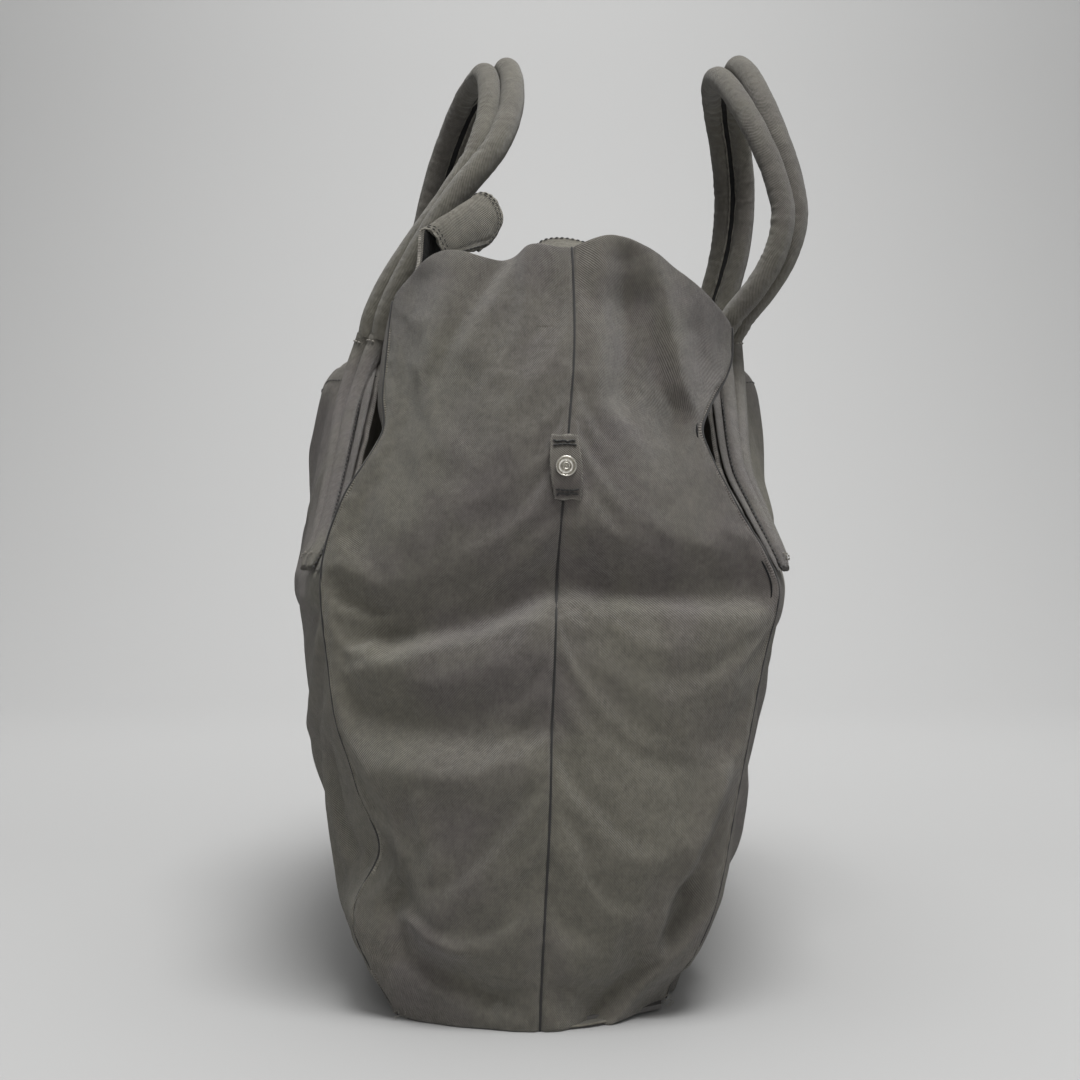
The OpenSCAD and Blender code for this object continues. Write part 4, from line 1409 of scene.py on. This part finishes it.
def make_stud_tabs():
    for side, end in ENDS.items():
        middle, out, over, up = stud_frame(side)
        points, wear = stud_tab_grid(middle, out, over, up)
        panel(f"{end}_stud_tab", points, out, TWILL, held="stretched", thickness=STUD_TAB_T,
              wear=wear)
        # the zigzags are near black: painted shade in their dents
        stitches(f"{end}_stud_tab_stitches", stud_tab_lines(points, out), "root", 2.8, 2.6, 0.6)
        top = middle + out * (STUD_TAB_LOW + STUD_TAB_BOW)
        metal(f"{end}_stud", STUD_PROFILE, top, out)
        metal(f"{end}_stud_backing", CAP_PROFILE, top - out * (STUD_TAB_T + 0.1), -out)


SNAP_AT = 0.16
SNAP_RIM = 1.2


def make_snaps():
    """The snap halves on the upright parts of the closure tabs, facing each other."""
    kinds = (("front", FRONT_TAB, 1, SNAP_STUD_PROFILE, "snap_stud", "snap_backing"),
             ("back", BACK_TAB, -1, SOCKET_PROFILE, "snap_socket", "snap_cap"))
    for side, edges, y_way, profile, inner, outer in kinds:
        points, _ = tab_grid(edges)
        row = int(SNAP_AT * (len(points) - 1))
        place = points[row, TAB_COLUMNS // 2]
        normal = normals(points)[row, TAB_COLUMNS // 2]
        normal *= np.sign(normal[1] * y_way)
        for end, which in ENDS.items():
            flip = np.array([end, 1, 1])
            body = f"tab_{side}_{which}"
            metal(f"{which}_{inner}", profile, (place + normal * SNAP_RIM) * flip, normal * flip,
                  body)
            metal(f"{which}_{outer}", CAP_PROFILE, (place - normal * SNAP_RIM * 1.6) * flip,
                  -normal * flip, body)


# ---------- frayed corners ----------

TUFT_HAIRS = 22
TUFTS = ((209, -73), (190, 68))


def make_tufts():
    """Pale threads where the base's corners have rubbed through, at the right end."""
    lines = []
    for corner, (x, y) in enumerate(TUFTS):
        for k in range(TUFT_HAIRS):
            turn = 2.4 * k + corner
            start = np.array([x + 2.2 * math.sin(3 * k), y + 3.0 * math.cos(turn),
                              1.6 + 2.2 * (k % 3)])
            way = np.array([0.8, 0.9 * math.sin(turn) + 0.3 * np.sign(y), 0.3 * math.cos(1.7 * k)])
            steps = np.linspace(0, 1, 5)[:, None]
            curl = np.array([0.0, 0.6, 0.9]) * np.sin(steps * 3 + k) * 0.8
            line = start + unit(way) * steps * (2.2 + k % 4 * 0.6) + curl
            lines.append((line, np.tile([0.0, 0.0, 1.0], (5, 1))))
    stitches("frayed_corners", lines, "root", 1.1, 1.3, 0.14, THREAD)


# ---------- stage, in metres ----------

LENS = 49.2
CAMERA_PLACE = (0.99, 0, 0.253)
FLOOR_FRONT = 3.0
FLOOR_BACK = -1.2
FLOOR_HALF = 4.0
WALL_BEND = 1.4
WALL_TOP = 4.5
PAPER = (0.415, 0.415, 0.412, 1)
ROOM_LIGHT = 0.25


def make_camera():
    data = bpy.data.cameras.new("camera")
    data.lens = LENS
    data.sensor_width = 36
    camera = bpy.data.objects.new("camera", data)
    camera.location = CAMERA_PLACE
    camera.rotation_euler = (math.radians(90), 0, math.radians(90))
    bpy.context.scene.collection.objects.link(camera)
    bpy.context.scene.camera = camera


def make_stage():
    """A pale floor that curves up into a backdrop, as one sheet."""
    profile = [(FLOOR_FRONT, 0.0), (FLOOR_BACK, 0.0)]
    profile += [(FLOOR_BACK - WALL_BEND * math.sin(a), WALL_BEND - WALL_BEND * math.cos(a))
                for a in np.radians(np.arange(5, 91, 5))]
    profile += [(FLOOR_BACK - WALL_BEND, WALL_TOP)]
    points = [(x / MM, y / MM, z / MM) for x, z in profile for y in (-FLOOR_HALF, FLOOR_HALF)]
    faces = [[2 * i, 2 * i + 1, 2 * i + 3, 2 * i + 2] for i in range(len(profile) - 1)]
    floor = link("floor", mesh_of("floor", points, faces))
    material, _, shader = nodes_of("paper")
    set_inputs(shader, {"Base Color": PAPER, "Roughness": 0.9})
    floor.data.materials.append(material)


def make_light(name, place, target, size, power):
    data = bpy.data.lights.new(name, "AREA")
    data.shape = "DISK"
    data.size = size
    data.energy = power
    light = bpy.data.objects.new(name, data)
    light.location = place
    light.rotation_euler = (Vector(target) - Vector(place)).to_track_quat("-Z", "Y").to_euler()
    bpy.context.scene.collection.objects.link(light)


def make_lights():
    make_light("key", (0.95, 0.3, 2.8), (0, 0, 0.25), 1.3, 70)
    make_light("top", (-0.2, 0.0, 2.9), (0, 0, 0.2), 3.0, 44)
    make_light("fill", (2.6, 0.5, 0.9), (0, 0, 0.15), 1.6, 9)
    make_light("backdrop", (-0.9, 0, 1.7), (-2.6, 0, 1.0), 1.6, 18)
    world = bpy.data.worlds.new("world")
    bpy.context.scene.world = world
    world.use_nodes = True
    sky = {"Color": (1, 1, 1, 1), "Strength": ROOM_LIGHT}
    set_inputs(world.node_tree.nodes["Background"], sky)
    bpy.context.scene.view_settings.view_transform = "Standard"


def paint_cad_nodes():
    """Gives the CAD nodes that still show their own finish."""
    finishes = {"nickel": NICKEL, "base_board": BOARD, "lining": LINING_AND_PAINTED_SHADE, "core_cord": CORE}
    slots = {row["node"]: row["material_slot"] for row in frame["record"]["subparts"]}
    for node, obj in frame["nodes"].items():
        if not obj.hide_render:
            obj.data.materials.clear()
            obj.data.materials.append(finishes.get(slots[node], TWILL))


make_camera()
make_stage()
make_lights()
make_ends()
make_faces()
make_pockets()
make_inside()
make_base()
make_straps()
make_handles()
make_tabs()
make_tab_feet()
make_stud_tabs()
make_snaps()
make_tufts()
paint_cad_nodes()
